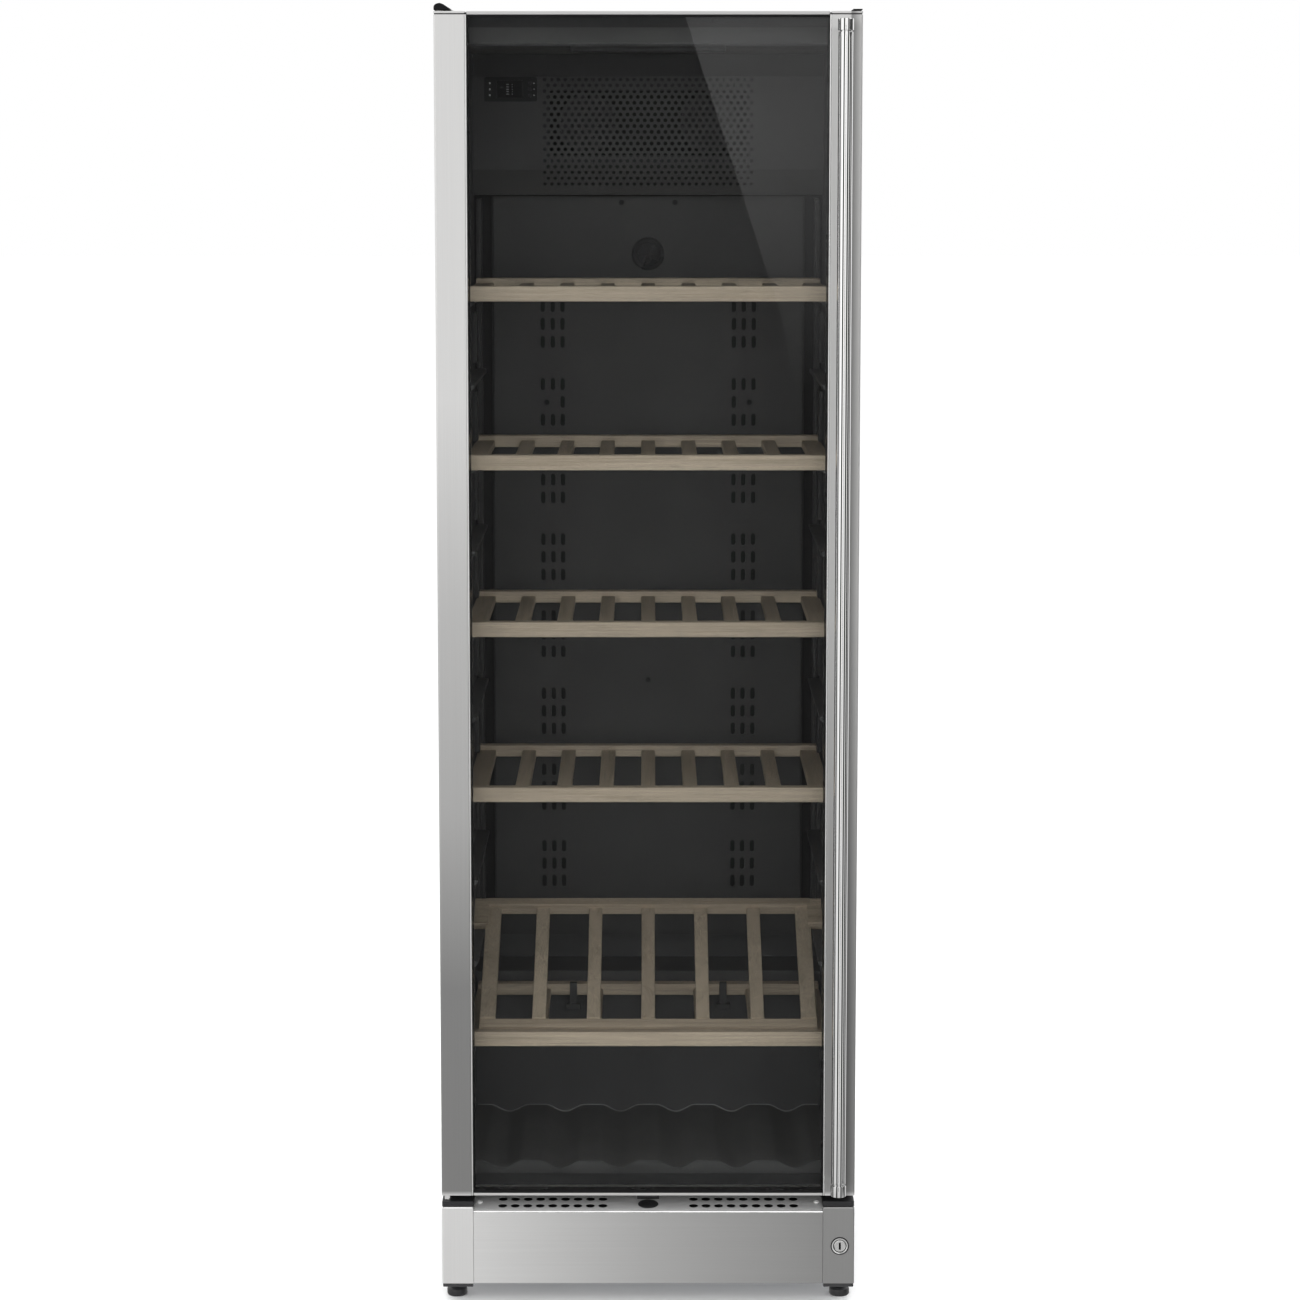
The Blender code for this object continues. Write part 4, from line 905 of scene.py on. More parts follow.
def build_kick_panel():
    low, high = BOX["kick_panel"]
    sheet, flange_sheet, bend = 0.001, 0.0006, 0.0028
    slope = KICK_SLOPE
    front, back = low.y, high.y - 0.0003
    corner_z = high.z - (high.y - front) * math.tan(slope)
    bend_z = corner_z - bend
    face_path = [(front + 0.030, low.z), (front, low.z), (front, bend_z)]
    face_path = filleted(face_path, [0, 0.0012, 0], 4, closed=False)
    bm = bmesh.new()
    add_bent_sheet(bm, face_path, low.x, high.x, -sheet)
    make_piece("kick_plate", bm, M["kick"], "cabinet", "brushed_steel", "kick_panel", smooth=28)
    bend_path = [(front, bend_z - bend), (front, corner_z), (front + 0.0062, flange_z(0.0062))]
    bend_path = filleted(bend_path, [0, bend, 0], 6, closed=False)[1:-1]
    bm = bmesh.new()
    add_bent_sheet(bm, bend_path, low.x, high.x, -sheet)
    make_piece("kick_bend", bm, M["bend"], "cabinet", "brushed_steel", smooth=28)

    start = bend + 0.0001

    def on_flange(distance):
        return (distance - start) / math.cos(slope)

    holes = []
    for side in (-1, 1):
        for k in range(9):
            x = side * (0.0656 + 0.0181 * k)
            holes += [circle((x, on_flange(row)), 0.0066, 20) for row in (0.0180, 0.0413)]
    holes.append(circle((0.0, on_flange(0.023)), 0.0136, 36))
    holes.append(rectangle(-0.016, on_flange(0.0415), 0.016, on_flange(0.0545)))
    bm = bmesh.new()
    flange = [(front + start, flange_z(start)), (back, flange_z(back - front))]
    add_bent_sheet(bm, flange, low.x, high.x, -flange_sheet, holes)
    make_piece("kick_flange", bm, M["flange"], "cabinet", "brushed_steel", smooth=28)
    normal = (0, -math.sin(slope), math.cos(slope))
    # A matt black sheet under the flange, seen through its holes: painted shade below the flange.
    under, inset = 0.0050, 0.004
    shade_sheet = [(y, z - under) for y, z in flange]
    plug_hole = circle((0.0, on_flange(0.023)), 0.0145, 36)
    bm = bmesh.new()
    add_bent_sheet(bm, shade_sheet, low.x + inset, high.x - inset, -sheet, [plug_hole])
    make_piece("kick_painted_shade_sheet", bm, M["matt_black_and_shade"], "cabinet", "black_plastic")
    bm = bmesh.new()
    for side in (-1, 1):
        screw_place = facing((side * 0.2440, depth(0.030), flange_z(0.030) + 0.0001), normal)
        screw_bmesh(bm, screw_place, 0.0043, 0.0016, 0.60)
    make_piece("kick_screws", bm, M["screw"], "cabinet", "bare_steel")
    plug_low, plug_high = BOX["vent_plug"]
    centre = (plug_low + plug_high) / 2
    profile = [(0.0, 0.0016), (0.0050, 0.0016), (0.0056, 0.0024), (0.0105, 0.0022)]
    profile += [(0.0138, 0.0016), (0.0147, 0.0006), (0.0146, 0.0002), (0.0128, 0.0002)]
    profile += [(0.0126, -0.0055), (0.0, -0.0055)]
    bm = bmesh.new()
    add_lathe(bm, profile, facing((0, centre.y, flange_z(centre.y - front)), normal), 48)
    make_piece("plug", bm, M["cap"], "cabinet", "black_plastic", "vent_plug")


def flange_z(distance):
    """The height of the kick panel's sloping flange, this far behind its face."""
    low, high = BOX["kick_panel"]
    return high.z - (high.y - low.y - distance) * math.tan(KICK_SLOPE)


def build_columns():
    bevel = 0.0030
    for side, name in ((-1, "left"), (1, "right")):
        low, high = BOX[f"plinth_column_{name}"]
        bm = bmesh.new()
        top, outer = high.z, 0.0028
        outline = rectangle(low.x, low.y, high.x, high.y)
        radii = [0.0012, outer, 0.0, 0.0] if side > 0 else [outer, 0.0012, 0.0, 0.0]
        round_outline = filleted(outline, radii, 4)
        middle = Vector(((low.x + high.x) / 2, (low.y + high.y) / 2))

        def ring(z, inset):
            points = []
            for a, b in round_outline:
                half_x, half_y = (high.x - low.x) / 2, (high.y - low.y) / 2
                x = middle.x + (a - middle.x) * (half_x - inset) / half_x
                y = middle.y + (b - middle.y) * (half_y - inset) / half_y
                points.append(bm.verts.new((x, y, z)))
            return points

        rings = [ring(low.z, 0.0), ring(top - bevel, 0.0)]
        rings += [ring(top - bevel * 0.4, 0.0006), ring(top, bevel * 0.8)]
        for first, second in zip(rings[:-1], rings[1:]):
            join_rings(bm, first, second)
        bm.faces.new(rings[0])
        bm.faces.new(rings[-1])
        piece, node_name = f"column_{name}", f"plinth_column_{name}"
        make_piece(piece, bm, M[piece], "cabinet", "brushed_steel", node_name)
        dress(f"hinge_block_{name}", M["cap"], 0.0009)
        bm = bmesh.new()
        bracket_low = (low.x + 0.001, depth(0.001), 0.0285)
        add_box(bm, bracket_low, (high.x - 0.001, depth(0.056), low.z - 0.0002))
        soften(bm, 0.0010)
        make_piece(f"foot_bracket_{name}", bm, M["enamel"], "cabinet", "galvanised")
    dress("lower_hinge_pin", M["polished"], 0.0003)


def build_lock():
    low, high = BOX["lock_housing"]
    x, z = (low.x + high.x) / 2, (low.z + high.z) / 2
    bm = bmesh.new()
    place = facing((x, depth(0.0), z), (0, -1, 0))
    profile = [(0.0121, 0.0005), (0.0124, 0.0009), (0.0129, 0.0009), (0.01325, 0.0004), (0.01325, -0.0002)]
    profile += [(0.0121, -0.0002), (0.0121, 0.0005)]
    add_lathe(bm, profile, place, 56)
    profile = [(0.0086, 0.0002), (0.0095, 0.0002), (0.0095, -0.0250), (0.0086, -0.0250), (0.0086, 0.0002)]
    add_lathe(bm, profile, place, 56)
    make_piece("lock_bezel", bm, M["cap"], "cabinet", "black_plastic", "lock_housing")
    bm = bmesh.new()
    profile = [(0.0096, 0.0002), (0.0098, 0.0010), (0.0103, 0.0013), (0.0116, 0.0013)]
    profile += [(0.0120, 0.0007), (0.0120, -0.0260), (0.0096, -0.0260), (0.0096, 0.0002)]
    add_lathe(bm, profile, place, 56)
    make_piece("lock_face", bm, M["polished"], "cabinet", "black_plastic")
    bm = bmesh.new()
    radius, slot_half, slot_height = 0.0083, 0.0015, 0.0053
    keyway = rectangle(-slot_half, -slot_height, slot_half, slot_height)
    add_plate(bm, circle((0, 0), radius - 0.0006, 48), [keyway], place, 0.0011, -0.0060)
    add_lathe(bm, [(radius - 0.0006, 0.0011), (radius, 0.0005), (radius, -0.0290), (0.0, -0.0290)], place, 48)
    cam_low = (x - 0.0150, depth(0.0280), z - 0.0035)
    add_box(bm, cam_low, (x + 0.0030, depth(0.0308), z + 0.0035))
    make_piece("lock_barrel", bm, M["polished"], "lock_cylinder", "polished_steel", "lock_cylinder")
    # A matt black block fills the keyway: painted shade for its depth.
    bm = bmesh.new()
    gap = 0.00005
    low_corner = (x - slot_half + gap, depth(-0.0004), z - slot_height + gap)
    add_box(bm, low_corner, (x + slot_half - gap, depth(0.0055), z + slot_height - gap))
    make_piece("lock_keyway", bm, M["matt_black_and_shade"], "lock_cylinder", "black_plastic")
    dress("lock_bolt", M["bare"], 0.0003)


def build_feet():
    for name in ("front_left", "front_right", "rear_left", "rear_right"):
        low, high = BOX[f"foot_{name}"]
        x, y = (low.x + high.x) / 2, (low.y + high.y) / 2
        profile = [(0.0, 0.0330), (0.0036, 0.0330)]
        pitch, threads = 0.00125, 12
        for k in range(threads):
            z = 0.0320 - k * pitch
            profile += [(0.0039, z), (0.0034, z - pitch / 2)]
        profile += [(0.0060, 0.0160), (0.0062, 0.0140), (0.0110, 0.0128), (0.0138, 0.0110), (0.0147, 0.0092)]
        profile += [(0.0148, 0.0030), (0.0140, 0.0012), (0.0128, 0.0), (0.0, 0.0)]
        bm = bmesh.new()
        add_lathe(bm, profile, Matrix.Translation((x, y, 0)), 40)
        make_piece(f"levelling_foot_{name}", bm, M["black"], f"foot_{name}", "black_plastic", f"foot_{name}")


# ---------------------------------------------------------------- casing and top


def build_casing():
    low, high = BOX["outer_casing"]
    sheet, bend = 0.001, 0.0030
    path = [(low.x, low.z), (low.x, high.z), (high.x, high.z), (high.x, low.z)]
    path = filleted(path, [0, bend, bend, 0], 5, closed=False)
    bm = bmesh.new()
    add_bent_sheet(bm, path, low.y, high.y, -sheet, axis="Y")
    inner = sheet * 1.02
    opening = BOX["inner_liner"]
    window = rectangle(opening[0].x, opening[0].z, opening[1].x, opening[1].z)
    air = rectangle(-STILE_INNER, low.z + 0.0005, STILE_INNER, 0.1300)
    outline = rectangle(low.x + inner, low.z + 0.0002, high.x - inner, high.z - inner)
    make_piece("casing_skin", bm, M["paint"], "cabinet", "casing_paint", "outer_casing", smooth=30)
    bm = bmesh.new()
    add_plate(bm, outline, [window, air], UPRIGHT, low.y, low.y + sheet)
    make_piece("casing_front", bm, M["panel"], "cabinet", "casing_paint")


def build_top():
    low, high = BOX["hinge_cap"]
    crown_x, shoulder = low.x + 0.0087, low.z + 0.0042
    rise = []
    steps = 10
    for k in range(steps + 1):
        turn = math.pi / 2 * k / steps
        x = crown_x - (crown_x - low.x) * math.cos(turn)
        rise.append((x, shoulder + (high.z - shoulder) * math.sin(turn)))
    fall = [(crown_x, high.z), (-0.2845, high.z - 0.0012)]
    fall += [(high.x - 0.0040, low.z + 0.0018), (high.x - 0.0030, low.z)]
    fall = filleted(fall, 0.004, 4, closed=False)
    bm = bmesh.new()
    add_prism(bm, [(low.x, low.z), *rise, *fall[1:]], "Y", low.y, high.y)
    soften(bm, 0.0012, 3, 50)
    make_piece("hinge_cover", bm, M["matt_black_and_shade"], "cabinet", "black_plastic", "hinge_cap")
    low, high = BOX["blank_plate"]
    bm = bmesh.new()
    add_box(bm, low, high)
    soften(bm, 0.0006)
    make_piece("blank_cover", bm, M["matt_black_and_shade"], "cabinet", "black_plastic", "blank_plate")
    dress("upper_hinge_bracket", M["bare"], 0.0003)


# ---------------------------------------------------------------- cabin


def build_liner():
    dress("inner_liner", M["liner"], 0.0014)
    dress("foam_insulation", M["foam"], 0.0)
    low, high = BOX["inner_liner"]
    wall = 0.002
    half = high.x - wall
    ceiling = high.z - wall
    shelf_top = BOX["shelf_1"][1].z
    pitch, drop, count = 0.120, 0.0208, 10
    bm = bmesh.new()
    for level in range(count - 1):
        ledge = shelf_top - drop - pitch * level
        pad_high = ledge - 0.030
        pad_low = ledge - pitch + 0.012
        for side in (-1, 1):
            inner, outer = mirrored(side, (half - 0.0075), (half + 0.0002))
            if pad_low > 0.42:
                add_box(bm, (inner, depth(0.455), pad_low), (outer, depth(0.492), pad_high))
            thin_inner = inner + (0.003 if side > 0 else 0)
            thin_outer = outer - (0.003 if side < 0 else 0)
            add_box(bm, (thin_inner, depth(0.150), pad_low), (thin_outer, depth(0.200), pad_high))
    for side in (-1, 1):
        inner, outer = mirrored(side, 0.2550, 0.2640)
        add_box(bm, (inner, depth(0.5290), 0.445), (outer, depth(0.5448), 1.586))
    soften(bm, 0.0022)
    make_piece("wall_pads", bm, M["panel"], "cabinet", "liner_plastic")
    bm = bmesh.new()
    rise, edge = 0.0018, 0.0016 / 3
    trim = [(0.0, depth(0.062)), (0.0, depth(0.070)), (rise, depth(0.070)), (rise, depth(0.062))]
    add_frame(bm, half, (low.z + 0.016, ceiling), trim)
    soften(bm, edge, 2)
    make_piece("mouth_trim", bm, M["liner_dark"], "cabinet", "liner_plastic")


def build_evaporator_cover():
    low, high = BOX["evaporator_cover"]
    half = high.x
    sheet = 0.0013
    face = depth(0.4800)
    path = [
        (high.y, low.z + 0.0012),
        (depth(0.4990), low.z + 0.0012),
        (face, 1.6298),
        (face, 1.7697),
        (depth(0.4978), high.z - 0.0004),
    ]
    path = filleted(path, [0, 0.003, 0.0012, 0.0012, 0], 2, closed=False)
    lengths = [0.0]
    for a, b in zip(path[:-1], path[1:]):
        lengths.append(lengths[-1] + (Vector(b) - Vector(a)).length)

    def along(z):
        """The distance along the path at a height, past the lower fold."""
        for k in range(len(path) - 1):
            a, b = path[k], path[k + 1]
            if a[0] < depth(0.4985) or b[0] < depth(0.4985):
                if a[1] <= z <= b[1]:
                    return lengths[k] + (z - a[1]) / (b[1] - a[1]) * (lengths[k + 1] - lengths[k])
        return lengths[-1]

    rows, columns, row_pitch, column_pitch, radius = 19, 31, 0.00874, 0.01046, 0.0030
    holes = []
    for row in range(rows):
        z = 1.6080 + row * row_pitch
        count = columns - row % 2
        s = along(z)
        for column in range(count):
            x = (column - (count - 1) / 2) * column_pitch
            holes.append(circle((x, s), radius, 12))
    control_low, control_high = BOX["controller_housing"]
    lap = 0.003
    corner = (control_low.x + lap, along(control_low.z + lap))
    holes.append(rectangle(*corner, control_high.x - lap, along(control_high.z - lap)))
    bm = bmesh.new()
    add_bent_sheet(bm, path, -half, half, -sheet, holes)
    replaced = ("evaporator_cover", "fan_grille")
    make_piece("cooler_cover", bm, M["panel"], "cabinet", "liner_plastic", *replaced, smooth=25)


def build_fans():
    dress("fan_carrier", M["matt_black_and_shade"], 0.0006)
    for side in ("left", "right"):
        node_name = f"fan_rotor_{side}"
        low, high = BOX[node_name]
        centre = Vector(((low.x + high.x) / 2, (low.y + high.y) / 2, BOX["fan_carrier"][0].z + 0.048))
        bm = bmesh.new()
        hub = [(0.0, 0.0075), (0.0120, 0.0074), (0.0145, 0.0066), (0.0155, 0.0045)]
        hub += [(0.0155, -0.0075), (0.0, -0.0075)]
        add_lathe(bm, hub, facing(centre, (0, -1, 0)), 36)
        blades, radial_steps, chord_steps = 7, 6, 6
        for number in range(blades):
            start = TURN * number / blades
            grid = []
            for i in range(radial_steps + 1):
                r = 0.0150 + (0.0405 - 0.0150) * i / radial_steps
                chord = math.radians(46) * (1.0 - 0.12 * i / radial_steps)
                sweep = math.radians(16) * (i / radial_steps) ** 1.5
                row = []
                for j in range(chord_steps + 1):
                    t = j / chord_steps
                    turn = start + sweep + chord * (t - 0.5)
                    rise = 0.0062 * (t - 0.5) * 2 + 0.0012 * math.sin(math.pi * t)
                    row.append(centre + Vector((r * math.cos(turn), rise, r * math.sin(turn))))
                grid.append(row)
            add_blade(bm, grid, 0.0011)
        make_piece(f"fan_wheel_{side}", bm, M["black"], node_name, "black_plastic", node_name, smooth=50)


def add_blade(bm, grid, thickness):
    """A thin closed sheet over a grid of points, thickened along Y."""
    lift = Vector((0, thickness / 2, 0))
    near = [[bm.verts.new(p - lift) for p in row] for row in grid]
    far = [[bm.verts.new(p + lift) for p in row] for row in grid]
    for i in range(len(grid) - 1):
        for j in range(len(grid[0]) - 1):
            bm.faces.new((near[i][j], near[i][j + 1], near[i + 1][j + 1], near[i + 1][j]))
            bm.faces.new((far[i][j], far[i + 1][j], far[i + 1][j + 1], far[i][j + 1]))
    edge = [(i, 0) for i in range(len(grid))]
    edge += [(len(grid) - 1, j) for j in range(1, len(grid[0]))]
    edge += [(i, len(grid[0]) - 1) for i in range(len(grid) - 2, -1, -1)]
    edge += [(0, j) for j in range(len(grid[0]) - 2, 0, -1)]
    for (a, b), (c, d) in zip(edge, edge[1:] + edge[:1]):
        bm.faces.new((near[a][b], near[c][d], far[c][d], far[a][b]))


def build_controller():
    low, high = BOX["controller_housing"]
    front = low.y
    bm = bmesh.new()
    window_low, window_high = BOX["controller_display"]
    rim = 0.0006
    holes = [rectangle(window_low.x - rim, window_low.z - rim, window_high.x + rim, window_high.z + rim)]
    for number in (1, 2, 3):
        key_low, key_high = BOX[f"controller_key_{number}"]
        centre = ((key_low.x + key_high.x) / 2, (key_low.z + key_high.z) / 2)
        holes.append(circle(centre, (key_high.x - key_low.x) / 2 + 0.0004, 24))
    outline = filleted(rectangle(low.x, low.z, high.x, high.z), 0.003, 4)
    add_plate(bm, outline, holes, UPRIGHT, front + 0.0002, front + 0.0030)
    back_low = (low.x + 0.004, front + 0.0030, low.z + 0.004)
    add_box(bm, back_low, (high.x - 0.004, high.y, high.z - 0.004))
    make_piece("controller_frame", bm, M["black"], "cabinet", "black_plastic", "controller_housing")
    dress("controller_display", M["display"], 0.0003)
    for number in (1, 2, 3):
        dress(f"controller_key_{number}", M["ring"], 0.0004)
    bm = bmesh.new()
    left_x, right_x = low.x + 0.0085, BOX["controller_key_1"][1].x + 0.0020
    for number in (1, 2, 3):
        key_low, key_high = BOX[f"controller_key_{number}"]
        z = (key_low.z + key_high.z) / 2
        near, far = front - 0.00005, front + 0.00025
        add_box(bm, (left_x - 0.0012, near, z - 0.0014), (left_x + 0.0012, far, z + 0.0014))
        add_box(bm, (right_x, near, z - 0.0006), (right_x + 0.0020, far, z + 0.0006))
    make_piece("controller_marks", bm, M["mark"], "cabinet", "display_plastic")
    bm = bmesh.new()
    middle = (window_low + window_high) / 2
    for row in range(5):
        for column, width in ((-1, 0.0040), (1, 0.0018)):
            x, z = middle.x + column * 0.0036, middle.z + (row - 2) * 0.0036
            bar_low = (x - width / 2, window_low.y - 0.00005, z - 0.0005)
            add_box(bm, bar_low, (x + width / 2, window_low.y + 0.0003, z + 0.0005))
    make_piece("display_bars", bm, M["dim_mark"], "cabinet", "display_plastic")


def build_duct_panel():
    low, high = BOX["duct_panel"]
    face, sheet = low.y, 0.0024
    half = high.x
    returns = high.y
    path = [(-half, returns), (-half, face), (half, face), (half, returns)]
    path = filleted(path, [0, 0.005, 0.005, 0], 4, closed=False)
    lengths = [0.0]
    for a, b in zip(path[:-1], path[1:]):
        lengths.append(lengths[-1] + (Vector(b) - Vector(a)).length)
    middle = lengths[-1] / 2
    holes = []
    screws = []
    for top in (1.422, 1.302, 1.182, 1.062, 0.942, 0.821, 0.701, 0.580):
        for row in range(3):
            z = top - row * 0.0276
            for side in (-1, 1):
                swapped = top == 1.302 and row == 1
                if swapped:
                    screws.append((side * 0.156, z))
                for x in (0.132, 0.147, 0.1625):
                    if swapped and x > 0.14:
                        continue
                    holes.append([(b, a) for a, b in long_hole((middle + side * x, z), 0.0070, 0.0190)])
    filter_z = (BOX["air_filter"][0].z + BOX["air_filter"][1].z) / 2
    holes.append([(b, a) for a, b in circle((middle, filter_z), 0.0240, 40)])
    bm = bmesh.new()
    add_bent_sheet(bm, path, low.z, high.z, sheet, holes, axis="Z")
    make_piece("duct_front", bm, M["panel"], "cabinet", "liner_plastic", "duct_panel", smooth=30)
    bm = bmesh.new()
    for x, z in [*screws, (0.0, 0.843), (-0.041, 1.580), (0.041, 1.580)]:
        screw_bmesh(bm, facing((x, face - 0.0001, z), (0, -1, 0)), 0.0042, 0.0018)
    make_piece("duct_screws", bm, M["black"], "cabinet", "bare_steel")


def build_filter():
    low, high = BOX["air_filter"]
    x, z = (low.x + high.x) / 2, (low.z + high.z) / 2
    rise = depth(0.5262) - low.y
    place = facing((x, depth(0.5262), z), (0, -1, 0))
    bm = bmesh.new()
    profile = [(0.0, rise - 0.0030), (0.0165, rise - 0.0030), (0.0178, rise - 0.0026)]
    profile += [(0.0190, rise - 0.0004), (0.0200, rise), (0.0232, rise - 0.0001)]
    profile += [(0.0245, rise - 0.0010), (0.0250, rise - 0.0024)]
    profile += [(0.0248, 0.0016), (0.0235, 0.0014), (0.0235, -0.0140), (0.0, -0.0140)]
    add_lathe(bm, profile, place, 56)
    base = rise - 0.0032
    for k in range(3):
        turn = Matrix.Rotation(math.pi * k / 3, 4, "Z")
        grip = bmesh.new()
        add_box(grip, (-0.0155, -0.0011, base), (0.0155, 0.0011, rise - 0.0006))
        soften(grip, 0.0006, 2)
        bmesh.ops.transform(grip, matrix=place @ turn, verts=grip.verts)
        merge(bm, grip)
    make_piece("filter_cap", bm, M["ring"], "air_filter", "black_plastic", "air_filter")


def merge(target, source):
    """Moves the contents of one bmesh into another."""
    mesh = bpy.data.meshes.new("scratch")
    source.to_mesh(mesh)
    source.free()
    target.from_mesh(mesh)
    bpy.data.meshes.remove(mesh)


def build_lamp():
    low, high = BOX["lamp_cover"]
    outline = filleted(rectangle(low.y, low.z, high.y, high.z), [0.004, 0.004, 0, 0], 5)
    bm = bmesh.new()
    add_prism(bm, outline, "X", low.x, high.x)
    soften(bm, 0.0012, 2, 50)
    make_piece("lamp_lens", bm, M["lens"], "cabinet", "display_plastic", "lamp_cover")


# ---------------------------------------------------------------- shelves


def board(bm, low, high, number, matrix=None, edge=0.0016):
    """One rounded length of wood, marked so that its grain differs from its neighbours'."""
    piece = bmesh.new()
    add_box(piece, low, high)
    soften(piece, edge, 2)
    layer = piece.verts.layers.float.new("board")
    value = (number * 0.618) % 1.0
    for vert in piece.verts:
        vert[layer] = value
    if matrix:
        bmesh.ops.transform(piece, matrix=matrix, verts=piece.verts)
    merge(bm, piece)


def new_boards():
    """An empty bmesh that can hold boards."""
    bm = bmesh.new()
    bm.verts.layers.float.new("board")
    return bm


def build_shelves():
    seed = 0
    kinds = [(f"shelf_{k}", 0.0613, 7) for k in (1, 2, 3, 4)] + [("display_shelf", 0.080, 5)]
    for node_name, pitch, count in kinds:
        low, high = BOX[node_name]
        half = high.x
        rail_depth, slat_drop, slat_thick, slat_width = 0.020, 0.0085, 0.012, 0.021
        seed += 20
        bm = new_boards()
        board(bm, (-half, low.y, low.z), (half, low.y + rail_depth, high.z), seed, edge=0.0024)
        back_low = (-half + 0.002, high.y - 0.022, high.z - 0.019)
        board(bm, back_low, (half - 0.002, high.y, high.z - 0.001), seed + 1, edge=0.0020)
        make_piece(f"{node_name}_rails", bm, M["rail_wood"], node_name, "beech", node_name)
        bm = new_boards()
        top = high.z - slat_drop
        y_front, y_back = low.y + rail_depth - 0.0004, high.y - 0.0216
        for k in range(count):
            x = (k - (count - 1) / 2) * pitch
            slat_low = (x - slat_width / 2, y_front, top - slat_thick)
            board(bm, slat_low, (x + slat_width / 2, y_back, top), seed + 2 + k)
        for side in (-1, 1):
            inner, outer = mirrored(side, 0.2350, 0.2635)
            board(bm, (inner, y_front, top - slat_thick), (outer, y_back, top), seed + 10 + side)
        make_piece(f"{node_name}_slats", bm, M["slat_wood"], node_name, "beech")


def build_rack_clips():
    """Two black clips that hang from the display shelf's back rail."""
    high = BOX["display_shelf"][1]
    back = high.y - 0.0224
    bm = bmesh.new()
    for side in (-1, 1):
        x = side * 0.115
        add_box(bm, (x - 0.0055, back - 0.0090, high.z - 0.0340), (x + 0.0055, back, high.z + 0.0030))
        add_box(bm, (x - 0.0110, back - 0.0110, high.z - 0.0400), (x + 0.0110, back, high.z - 0.0300))
    soften(bm, 0.0012)
    make_piece("rack_clips", bm, M["panel"], "display_shelf", "beech")


def build_rack():
    shelf_high = BOX["display_shelf"][1]
    high = BOX["display_rack"][1]
    angle = math.radians(23.8)
    length, lower_half, pitch = 0.317, 0.2474, 0.080
    pivot = Vector((0, depth(0.106), shelf_high.z - 0.0085 + 0.0003))
    place = Matrix.Translation(pivot) @ Matrix.Rotation(angle, 4, "X")
    bm = new_boards()
    board(bm, (-lower_half, 0.0002, 0.0), (lower_half, 0.020, 0.012), 101, place)
    board(bm, (-lower_half, length - 0.018, 0.0012), (lower_half, length, 0.0198), 102, place)
    ear_low = shelf_high.z + 0.120 - 0.0208 + 0.0006
    for side in (-1, 1):
        inner, outer = mirrored(side, 0.2420, high.x)
        piece = bmesh.new()
        upper_front = place @ Vector((0, length - 0.066, 0.0192))
        upper_back = place @ Vector((0, length - 0.0008, 0.0192))
        lower_back = place @ Vector((0, length - 0.0008, 0.0018))
        run = (upper_front.z - ear_low) * math.tan(angle)
        across = (lower_back.z - ear_low) / math.tan(angle)
        outline = [(upper_front.y + run, ear_low), (upper_front.y, upper_front.z)]
        outline += [(upper_back.y, upper_back.z), (lower_back.y, lower_back.z)]
        outline += [(lower_back.y - across, ear_low)]
        add_prism(piece, outline, "X", inner, outer)
        soften(piece, 0.0012, 2)
        layer = piece.verts.layers.float.new("board")
        for vert in piece.verts:
            vert[layer] = 0.4 + 0.2 * side
        merge(bm, piece)
    make_piece("rack_rails", bm, M["rail_wood"], "display_rack", "beech", "display_rack")
    bm = new_boards()
    for k in range(5):
        x = (k - 2) * pitch
        board(bm, (x - 0.010, 0.0196, 0.0016), (x + 0.010, length - 0.0176, 0.0136), 110 + k, place)
    for side in (-1, 1):
        inner, outer = mirrored(side, 0.2240, (lower_half - 0.0006))
        board(bm, (inner, 0.0196, 0.0016), (outer, length - 0.0176, 0.0150), 120 + side, place)
    make_piece("rack_slats", bm, M["slat_wood"], "display_rack", "beech")


def build_cradle():
    low, high = BOX["bottle_cradle"]
    count, pitch, width, drop, proud = 6, 0.086, 0.058, 0.012, 0.0012
    steps_x = 240
    bm = bmesh.new()
    rows = []
    top = high.z

    def surface(x):
        number = min(count - 1, max(0, round(x / pitch + (count - 1) / 2)))
        centre = (number - (count - 1) / 2) * pitch
        t = abs(x - centre) / (width / 2)
        if t >= 1:
            return top
        return top - (drop - proud) * (0.5 + 0.5 * math.cos(math.pi * t)) ** 0.8

    ys = [low.y, low.y + 0.0006, low.y + 0.0025, low.y + 0.006, high.y - 0.004, high.y - 0.001, high.y]
    dips = [0.006, 0.0022, 0.0006, 0.0, 0.0, 0.0010, 0.0040]
    for y, dip in zip(ys, dips):
        row = []
        for k in range(steps_x + 1):
            x = low.x + (high.x - low.x) * k / steps_x
            row.append(bm.verts.new((x, y, surface(x) - proud - dip)))
        rows.append(row)
    floors = [[bm.verts.new((v.co.x, y, low.z)) for v in rows[0]] for y in (low.y, high.y)]
    for first, second in zip(rows[:-1], rows[1:]):
        for k in range(steps_x):
            bm.faces.new((first[k], first[k + 1], second[k + 1], second[k]))
    for k in range(steps_x):
        bm.faces.new((floors[0][k], floors[0][k + 1], rows[0][k + 1], rows[0][k]))
        bm.faces.new((rows[-1][k], rows[-1][k + 1], floors[1][k + 1], floors[1][k]))
    for side in (0, -1):
        column = [floors[0][side], *(row[side] for row in rows), floors[1][side]]
        bm.faces.new(column)
    bm.faces.new([*floors[0], *reversed(floors[1])])
    make_piece("cradle_tray", bm, M["cradle"], "cabinet", "black_plastic", "bottle_cradle")
    steps_rim = 180
    rims = [("front", 0.0014, 0.0020, low.y + 0.0014), ("back", 0.0022, 0.0022, high.y - 0.0022)]
    for name, rim, dip, y in rims:
        bm = bmesh.new()
        places = [low.x + rim + (high.x - low.x - 2 * rim) * k / steps_rim for k in range(steps_rim + 1)]
        add_tube(bm, [(x, y, surface(x) - dip) for x in places], rim, 6)
        make_piece(f"cradle_rim_{name}", bm, M[f"rim_{name}"], "cabinet", "black_plastic")


# ---------------------------------------------------------------- back and underside


